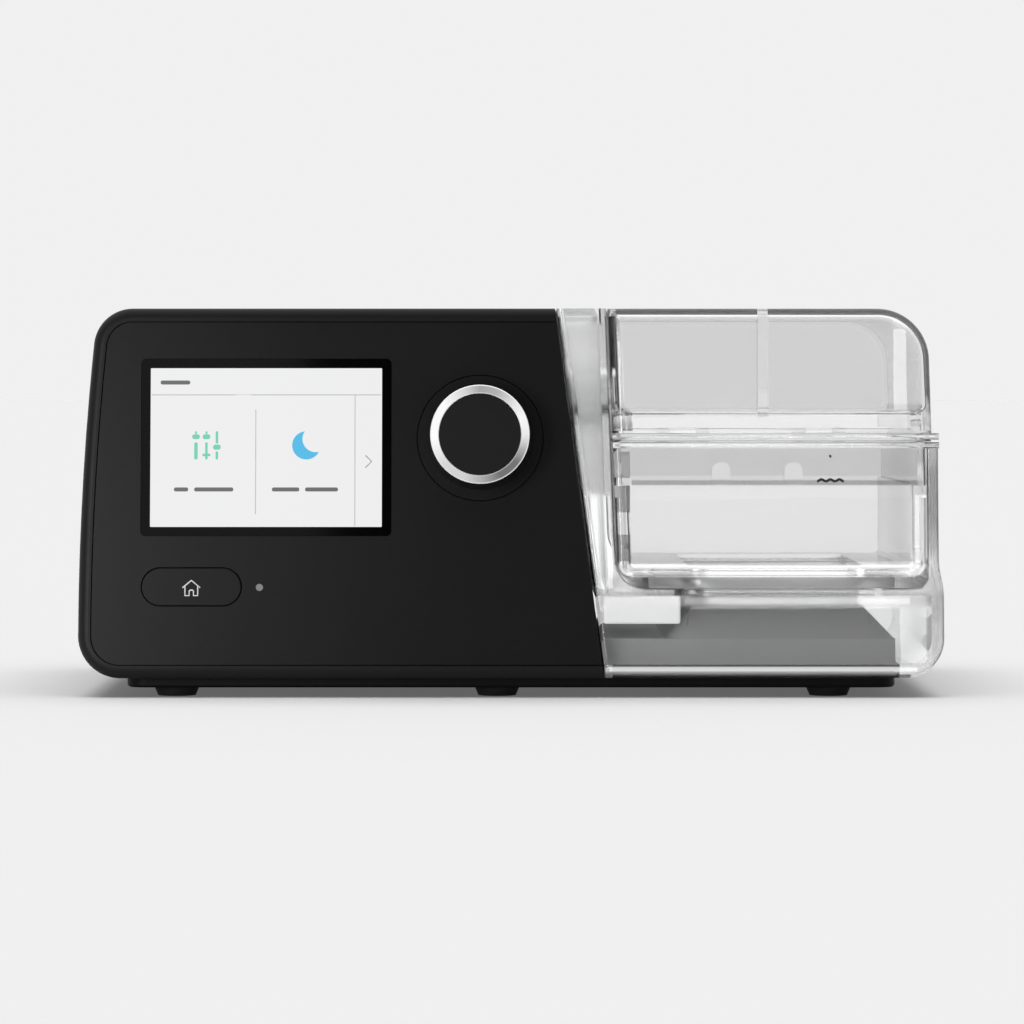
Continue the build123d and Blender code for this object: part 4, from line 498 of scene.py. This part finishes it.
def settle(piece, name, place, body, finish):
    # put a piece in its place for good, with its finish, on its body
    only(piece)
    piece.name = name
    piece.data.name = name
    piece.matrix_world = place @ piece.matrix_world
    bpy.ops.object.transform_apply(location=True, rotation=True, scale=True)
    bpy.ops.object.mode_set(mode="EDIT")
    bpy.ops.mesh.select_all(action="SELECT")
    bpy.ops.mesh.remove_doubles(threshold=weldReach)
    bpy.ops.mesh.normals_make_consistent(inside=False)
    bpy.ops.object.mode_set(mode="OBJECT")
    piece.data.materials.clear()
    piece.data.materials.append(finish)
    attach(piece, body)
    return piece


def applyModifier(piece, kind, **settings):
    only(piece)
    modifier = piece.modifiers.new(kind.lower(), kind)
    for label, value in settings.items():
        setattr(modifier, label, value)
    bpy.ops.object.modifier_apply(modifier=modifier.name)


def addPlate(width, height, radius, thickness, x=0.0, y=0.0):
    # round-cornered plate, back at z 0
    deselectAll()
    bpy.ops.mesh.primitive_plane_add(size=1.0, location=(0, 0, 0))
    plate = bpy.context.object
    plate.scale = (width, height, 1.0)
    bpy.ops.object.transform_apply(location=False, rotation=False, scale=True)
    bpy.ops.object.mode_set(mode="EDIT")
    bpy.ops.mesh.select_all(action="SELECT")
    bpy.ops.mesh.bevel(offset=radius, segments=cornerSteps, affect="VERTICES")
    bpy.ops.object.mode_set(mode="OBJECT")
    applyModifier(plate, "SOLIDIFY", thickness=thickness, offset=1.0)
    plate.location = (x, y, 0.0)
    bpy.ops.object.transform_apply(location=True, rotation=False, scale=False)
    return plate


def addStroke(points, lineWidth, thickness):
    # drawn line of an even width that lies flat
    curve = bpy.data.curves.new("stroke", "CURVE")
    curve.dimensions = "3D"
    curve.bevel_depth = lineWidth / 2
    curve.bevel_resolution = strokeSteps
    curve.use_fill_caps = True
    spline = curve.splines.new("POLY")
    spline.points.add(len(points) - 1)
    for point, (x, y) in zip(spline.points, points):
        point.co = (x, y, 0.0, 1.0)
    stroke = bpy.data.objects.new("stroke", curve)
    bpy.context.scene.collection.objects.link(stroke)
    only(stroke)
    bpy.ops.object.convert(target="MESH")
    stroke = bpy.context.object
    stroke.scale = (1.0, 1.0, thickness / lineWidth)
    stroke.location = (0.0, 0.0, thickness / 2)
    bpy.ops.object.transform_apply(location=True, rotation=False, scale=True)
    return stroke


def joinPieces(pieces):
    deselectAll()
    for piece in pieces:
        piece.select_set(True)
    bpy.context.view_layer.objects.active = pieces[0]
    bpy.ops.object.join()
    return bpy.context.object


def centreOf(nodeName):
    low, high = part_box(nodeName)
    return (Vector(low) + Vector(high)) / 2


# ---- the lit picture behind the window ----

picture = {
    "width": 70.9 * mm,
    "height": 48.8 * mm,
    "thickness": 0.04 * mm,
    "lineThickness": 0.03 * mm,
    "lineWidth": 0.3 * mm,
    "headerHeight": 16.2 * mm,  # of the line under the heading, above the middle
    "dividerX": -3.2 * mm,
    "dividerTop": 11.7 * mm,
    "dividerLow": -20.5 * mm,
    "columnX": 27.2 * mm,
    "arrowX": 30.4 * mm,
    "arrowY": -4.3 * mm,
    "arrowReach": 1.9 * mm,
    "arrowWeight": 1.3,  # times the width of the other lines
    "barRounding": 0.45,  # corner radius over the bar's shorter side
    "knobRounding": 0.46,
    "knobWeight": 1.5,  # times the thickness of the other marks
    "sheetCorner": 0.25 * mm,
    "biteDepth": 1.0 * mm,
    "arrow": (0.33, 0.33, 0.33),
    "paper": (0.855, 0.855, 0.858),
    "line": (0.5, 0.5, 0.5),
    "word": (0.155, 0.155, 0.16),
    "green": (0.19, 0.63, 0.46),
    "blue": (0.095, 0.505, 0.80),
    "sliderBars": (  # across, low end, top end, width
        (-21.5 * mm, 4.1 * mm, 5.0 * mm, 0.6 * mm),
        (-21.5 * mm, -3.7 * mm, 1.6 * mm, 1.05 * mm),
        (-18.3 * mm, 4.1 * mm, 5.0 * mm, 0.6 * mm),
        (-18.3 * mm, -3.7 * mm, 1.6 * mm, 0.75 * mm),
        (-15.1 * mm, 1.2 * mm, 5.0 * mm, 0.8 * mm),
        (-15.1 * mm, -3.7 * mm, -1.2 * mm, 0.8 * mm),
    ),
    "sliderKnobs": (  # across, up, width, height
        (-21.5 * mm, 3.3 * mm, 2.35 * mm, 1.5 * mm),
        (-18.3 * mm, 3.3 * mm, 2.35 * mm, 1.5 * mm),
        (-15.1 * mm, 0.1 * mm, 2.35 * mm, 1.6 * mm),
        (-18.3 * mm, -2.3 * mm, 2.5 * mm, 0.85 * mm),
    ),
    "moonX": 12.3 * mm,
    "moonY": 0.65 * mm,
    "moonR": 4.34 * mm,
    "biteX": 2.9 * mm,
    "biteY": 2.0 * mm,
    "biteR": 4.09 * mm,
    "wordHeight": 1.25 * mm,
    "heading": ((-27.9 * mm, 20.0 * mm, 9.1 * mm),),
    "labels": (
        (-26.0 * mm, -12.9 * mm, 4.4 * mm),
        (-16.0 * mm, -12.9 * mm, 12.0 * mm),
        (6.0 * mm, -12.9 * mm, 8.4 * mm),
        (17.0 * mm, -12.9 * mm, 10.1 * mm),
    ),
}
glassCentre = centreOf("display_glass")
windowPlace = touchPlace("display_glass", glassCentre.x, glassCentre.z)
paperLit = litFinish("picturePaper", picture["paper"])
lineLit = litFinish("pictureLine", picture["line"])
wordLit = litFinish("pictureWord", picture["word"])
greenLit = litFinish("pictureGreen", picture["green"])
blueLit = litFinish("pictureBlue", picture["blue"])

sheetLit = addPlate(picture["width"], picture["height"], picture["sheetCorner"], picture["thickness"])
settle(sheetLit, "picture_sheet", windowPlace, "unit", paperLit)
overPicture = windowPlace @ Matrix.Translation((0, 0, picture["thickness"]))


def rule(x0, y0, x1, y1):
    return addStroke(((x0, y0), (x1, y1)), picture["lineWidth"], picture["lineThickness"])


halfWidth = picture["width"] / 2 - picture["lineWidth"]
halfHeight = picture["height"] / 2 - picture["lineWidth"]
rules = joinPieces([
    rule(-halfWidth, picture["headerHeight"], halfWidth, picture["headerHeight"]),
    rule(picture["dividerX"], picture["dividerLow"], picture["dividerX"], picture["dividerTop"]),
    rule(picture["columnX"], -halfHeight, picture["columnX"], picture["headerHeight"]),
])
settle(rules, "picture_rules", overPicture, "unit", lineLit)

arrow = addStroke(
    (
        (picture["arrowX"], picture["arrowY"] + picture["arrowReach"]),
        (picture["arrowX"] + picture["arrowReach"], picture["arrowY"]),
        (picture["arrowX"], picture["arrowY"] - picture["arrowReach"]),
    ),
    picture["lineWidth"] * picture["arrowWeight"],
    picture["lineThickness"],
)
settle(arrow, "picture_arrow", overPicture, "unit", litFinish("pictureArrow", picture["arrow"]))

barCorner = picture["wordHeight"] * picture["barRounding"]
bars = [
    addPlate(length, picture["wordHeight"], barCorner, picture["lineThickness"], x, y)
    for x, y, length in picture["heading"] + picture["labels"]
]
settle(joinPieces(bars), "picture_word_bars", overPicture, "unit", wordLit)

sliders = [
    addPlate(width, top - low, width * picture["barRounding"], picture["lineThickness"], x, (low + top) / 2)
    for x, low, top, width in picture["sliderBars"]
]
knobThickness = picture["lineThickness"] * picture["knobWeight"]
for x, y, width, height in picture["sliderKnobs"]:
    sliders.append(addPlate(width, height, height * picture["knobRounding"], knobThickness, x, y))
settle(joinPieces(sliders), "picture_sliders", overPicture, "unit", greenLit)


def addMoon():
    # disc with a bite taken out of its upper right
    deselectAll()
    bpy.ops.mesh.primitive_cylinder_add(
        vertices=roundSides, radius=picture["moonR"], depth=picture["lineThickness"],
        location=(picture["moonX"], picture["moonY"], picture["lineThickness"] / 2),
    )
    moon = bpy.context.object
    bpy.ops.mesh.primitive_cylinder_add(
        vertices=roundSides, radius=picture["biteR"], depth=picture["biteDepth"],
        location=(picture["moonX"] + picture["biteX"], picture["moonY"] + picture["biteY"], 0),
    )
    bite = bpy.context.object
    applyModifier(moon, "BOOLEAN", operation="DIFFERENCE", object=bite, solver="EXACT")
    bpy.data.objects.remove(bite)
    only(moon)
    bpy.ops.object.transform_apply(location=True, rotation=True, scale=True)
    return moon


settle(addMoon(), "picture_moon", overPicture, "unit", blueLit)
print("picture drawn")

# ---- the home key's printed house ----

house = {
    "lineWidth": 0.42 * mm,
    "thickness": 0.03 * mm,
    "apexY": 2.3 * mm,
    "eavesX": 2.7 * mm,
    "eavesY": 0.05 * mm,
    "wallX": 1.95 * mm,
    "lowY": -2.35 * mm,
    "doorX": 0.66 * mm,
    "doorTop": -0.95 * mm,
    "doorArch": 0.3 * mm,
    "wallRise": 0.5 * mm,  # of the walls' tops into the roof's line
    "ink": (0.72, 0.72, 0.72),
}
keyCentre = centreOf("home_button")
keyPlace = touchPlace("home_button", keyCentre.x, keyCentre.z)
inkGrain = (3000.0, 0.000004)
inkLow = tuple(inkDrift * part for part in house["ink"])
inkWhite = mouldedFinish("inkWhite", inkLow, house["ink"], (0.45, 0.55), *inkGrain)
roof = addStroke(
    ((-house["eavesX"], house["eavesY"]), (0, house["apexY"]), (house["eavesX"], house["eavesY"])),
    house["lineWidth"], house["thickness"],
)
wallTop = house["eavesY"] + house["wallRise"]
walls = addStroke(
    (
        (-house["wallX"], wallTop),
        (-house["wallX"], house["lowY"]),
        (-house["doorX"], house["lowY"]),
        (-house["doorX"], house["doorTop"]),
        (-house["doorArch"], house["doorTop"] + house["doorArch"]),
        (house["doorArch"], house["doorTop"] + house["doorArch"]),
        (house["doorX"], house["doorTop"]),
        (house["doorX"], house["lowY"]),
        (house["wallX"], house["lowY"]),
        (house["wallX"], wallTop),
    ),
    house["lineWidth"], house["thickness"],
)
settle(joinPieces([roof, walls]), "home_key_house", keyPlace, "home_key", inkWhite)

# ---- level mark on the tub ----

levelMark = {
    "x": 97.8 * mm,
    "z": 66.3 * mm,
    "width": 8.2 * mm,
    "swing": 0.3 * mm,
    "waves": 3,
    "lineWidth": 0.78 * mm,
    "thickness": 0.04 * mm,
    "dotRise": 7.4 * mm,
    "dotR": 0.36 * mm,
    "dotTallness": 2.4,  # in radii
    "dotRounding": 0.9,
    "stepCount": 36,
    "ink": (0.012, 0.012, 0.012),
}
markPlace = touchPlace("chamber_tub", levelMark["x"], levelMark["z"])
inkBlack = mouldedFinish("inkBlack", levelMark["ink"], (0.02, 0.02, 0.02), (0.5, 0.6), *inkGrain)
wavePoints = []
for step in range(levelMark["stepCount"] + 1):
    share = step / levelMark["stepCount"]
    wavePoints.append((
        (share - 0.5) * levelMark["width"],
        -levelMark["swing"] * math.cos(share * levelMark["waves"] * 2 * math.pi),
    ))
wave = addStroke(wavePoints, levelMark["lineWidth"], levelMark["thickness"])
dotR = levelMark["dotR"]
dot = addPlate(
    2 * dotR, levelMark["dotTallness"] * dotR, levelMark["dotRounding"] * dotR,
    levelMark["thickness"], 0, levelMark["dotRise"],
)
settle(joinPieces([wave, dot]), "level_mark", markPlace, "chamber", inkBlack)
print("marks printed")

# ---- floor, light and camera ----

studio = {
    "floorSize": 60.0,
    "floorShade": 0.25,
    "floorGlow": 0.12,
    "floorSun": 6.6,
    "floorSunAngle": 56.0,
    "floorDrift": 0.998,
    "backgroundShade": 0.872,
    "topShade": 1.2,
    "frontShade": 0.014,
    "sideShade": 0.26,
    "edgeSlant": 0.112,  # the room's dark right side starts along this slanting line
    "edgeShift": 0.021,
    "edgeBlur": 0.001,
    "frontFrom": -0.8,  # the room grows paler from here to there, along the look's Y
    "frontTo": 0.15,
    "aboveFrom": 0.5,  # and towards the top, along its Z
    "aboveTo": 0.9,
    "bounces": 32,
    "glossyBounces": 12,
    "softboxLeft": ((-0.27, -0.48, 0.10), (-0.1, -0.08, 0.06), (0.12, 0.2), 0.78),  # place, aim, size, power
    "softboxRing": ((0.0, -0.9, 0.27), tuple(knobCentre), (0.6, 0.6), 0.95),
    "glintReach": 0.08,  # from the clear faces to the strip lights
    "glints": {  # each strip's left, right, low and top in millimetres, where it shows, and its brightness
        "tubFoot": (35.5, 126.0, 37.4, 41.2, 4.0),
        "tubSide": (123.8, 127.2, 41.2, 62.0, 5.0),
        "tubLip": (37.5, 124.5, 60.8, 64.0, 0.6),
        "flange": (33.0, 129.0, 76.6, 80.0, 6.0),
        "lidFoot": (37.0, 121.0, 80.9, 86.0, 2.5),
        "lidSide": (117.3, 121.2, 88.0, 112.5, 5.2),
        "underDeck": (54.5, 119.0, 28.0, 31.2, 15.0),
        "skirtSide": (118.8, 126.8, 10.5, 30.5, 4.2),
        "wedgeHigh": (19.5, 27.0, 90.0, 107.0, 4.4),
        "wedgeLow": (24.4, 31.2, 33.0, 62.0, 6.5),
    },
    "cameraDistance": 1.4,
    "cameraHeight": 95.0 * mm,
    "frameMiddle": 56.55 * mm,
    "cameraX": 0.3 * mm,
    "frameWidth": 314.0 * mm,
    "frameY": -75.0 * mm,  # the frame is this wide here
    "sensor": 36.0,
}


def floorFinish():
    finish, tree, shader = newFinish("floorPale")
    place = addNode(tree, "ShaderNodeTexCoord").outputs["Object"]
    drift = addNode(tree, "ShaderNodeTexNoise", {"Vector": place, "Scale": 3.0})
    shade = studio["floorShade"]
    tintAndPaintedShade = addMix(tree, "RGBA", drift.outputs["Fac"], grey(shade * studio["floorDrift"]), grey(shade))
    tree.links.new(tintAndPaintedShade, shader.inputs["Base Color"])
    shader.inputs["Roughness"].default_value = 0.9
    shader.inputs["Specular IOR Level"].default_value = 0.0
    shader.inputs["Emission Color"].default_value = white
    shader.inputs["Emission Strength"].default_value = studio["floorGlow"]
    return finish


deselectAll()
bpy.ops.mesh.primitive_plane_add(size=studio["floorSize"], location=(0, 0, 0))
floor = bpy.context.object
floor.name = "studio_floor"
floor.data.materials.append(floorFinish())


def makeWorld():
    # pale room: bright above and behind the object, darker behind the camera's right
    world = bpy.data.worlds.new("studioWorld")
    bpy.context.scene.world = world
    world.use_nodes = True
    tree = world.node_tree
    background = tree.nodes["Background"]
    look = addNode(tree, "ShaderNodeTexCoord").outputs["Generated"]
    parts = addNode(tree, "ShaderNodeSeparateXYZ", {"Vector": look})
    front = addNode(
        tree, "ShaderNodeMapRange",
        {"Value": parts.outputs["Y"], "From Min": studio["frontFrom"], "From Max": studio["frontTo"]},
        interpolation_type="SMOOTHSTEP",
    )
    slant = addMath(tree, "MULTIPLY_ADD", parts.outputs["Z"], studio["edgeSlant"], parts.outputs["X"])
    left = addNode(
        tree, "ShaderNodeMapRange",
        {
            "Value": slant,
            "From Min": -studio["edgeShift"] - studio["edgeBlur"],
            "From Max": -studio["edgeShift"] + studio["edgeBlur"],
            "To Min": studio["sideShade"], "To Max": studio["frontShade"],
        },
    )
    above = addNode(
        tree, "ShaderNodeMapRange",
        {"Value": parts.outputs["Z"], "From Min": studio["aboveFrom"], "From Max": studio["aboveTo"]},
        interpolation_type="SMOOTHSTEP",
    )
    shade = addMix(tree, "FLOAT", front.outputs["Result"], left.outputs["Result"], studio["backgroundShade"])
    shade = addMix(tree, "FLOAT", above.outputs["Result"], shade, studio["topShade"])
    seen = addNode(tree, "ShaderNodeLightPath").outputs["Is Camera Ray"]
    plain = addMix(tree, "FLOAT", seen, shade, studio["backgroundShade"])
    tree.links.new(plain, background.inputs["Color"])


makeWorld()


def addSoftbox(name, place, aim, size, power):
    lamp = bpy.data.lights.new(name, "AREA")
    lamp.shape = "RECTANGLE"
    lamp.size, lamp.size_y = size
    lamp.energy = power
    softbox = bpy.data.objects.new(name, lamp)
    softbox.location = place
    softbox.rotation_euler = (Vector(aim) - Vector(place)).to_track_quat("-Z", "Y").to_euler()
    softbox.visible_camera = False
    bpy.context.scene.collection.objects.link(softbox)
    return softbox


def lightGroup(name, members, linkState="INCLUDE"):
    # the only pieces that a light falls on, or the ones that it leaves out
    group = bpy.data.collections.new(name)
    for member in members:
        group.objects.link(member)
    for member in group.collection_objects:
        member.light_linking.link_state = linkState
    return group


softboxLeft = addSoftbox("softboxLeft", *studio["softboxLeft"])
softboxLeft.light_linking.receiver_collection = lightGroup("offFloor", [floor], "EXCLUDE")
sun = bpy.data.lights.new("floorSun", "SUN")  # wide soft light from above, for the floor and the shadow on it
sun.energy = studio["floorSun"]
sun.angle = math.radians(studio["floorSunAngle"])
sunObject = bpy.data.objects.new("floorSun", sun)
sunObject.location = (0.0, 0.0, 2.0)
bpy.context.scene.collection.objects.link(sunObject)
sunObject.light_linking.receiver_collection = lightGroup("onFloor", [floor])
softboxRing = addSoftbox("softboxRing", *studio["softboxRing"])
softboxRing.light_linking.receiver_collection = lightGroup("ringOnly", [nodes["knob_ring"]])

cameraPlace = Vector((studio["cameraX"], studio["frameY"] - studio["cameraDistance"], studio["cameraHeight"]))
lean = math.atan2(-inward.z, inward.y)
faceSpot = touchPlace("front_panel", 0.0, 20 * mm).translation


def glintCorner(x, z):
    # where the camera's look at x, z on the leaning face goes on to
    spot = Vector((x, faceSpot.y + (z - faceSpot.z) * math.tan(lean), z))
    look = (spot - cameraPlace).normalized()
    return spot + look.reflect(-inward) * studio["glintReach"]


clearPieces = [nodes[name] for name in ("chamber_lid", "chamber_tub", "chamber_cradle")]
clearOnly = lightGroup("clearOnly", clearPieces)
for name, (*limits, brightness) in studio["glints"].items():
    left, right, low, top = (limit * mm for limit in limits)
    corners = [glintCorner(x, z) for x, z in ((left, low), (right, low), (left, top), (right, top))]
    middle = sum(corners, Vector()) / 4
    aim = faceSpot.copy()
    aim.x, aim.z = (left + right) / 2, (low + top) / 2
    size = ((corners[1] - corners[0]).length, (corners[2] - corners[0]).length)
    glint = addSoftbox("glint." + name, middle, aim, size, brightness * math.pi * size[0] * size[1])
    glint.light_linking.receiver_collection = clearOnly
    glint.visible_transmission = False

camera = bpy.data.cameras.new("camera")
camera.sensor_width = studio["sensor"]
camera.lens = studio["sensor"] * studio["cameraDistance"] / studio["frameWidth"]
cameraObject = bpy.data.objects.new("camera", camera)
cameraObject.location = cameraPlace
cameraDip = math.atan2(studio["cameraHeight"] - studio["frameMiddle"], studio["cameraDistance"])
cameraObject.rotation_euler = (math.radians(90) - cameraDip, 0, 0)
bpy.context.scene.collection.objects.link(cameraObject)
bpy.context.scene.camera = cameraObject
bpy.context.scene.view_settings.view_transform = "Standard"
bpy.context.scene.cycles.max_bounces = studio["bounces"]
bpy.context.scene.cycles.transmission_bounces = studio["bounces"]
bpy.context.scene.cycles.glossy_bounces = studio["glossyBounces"]
print("studio ready")
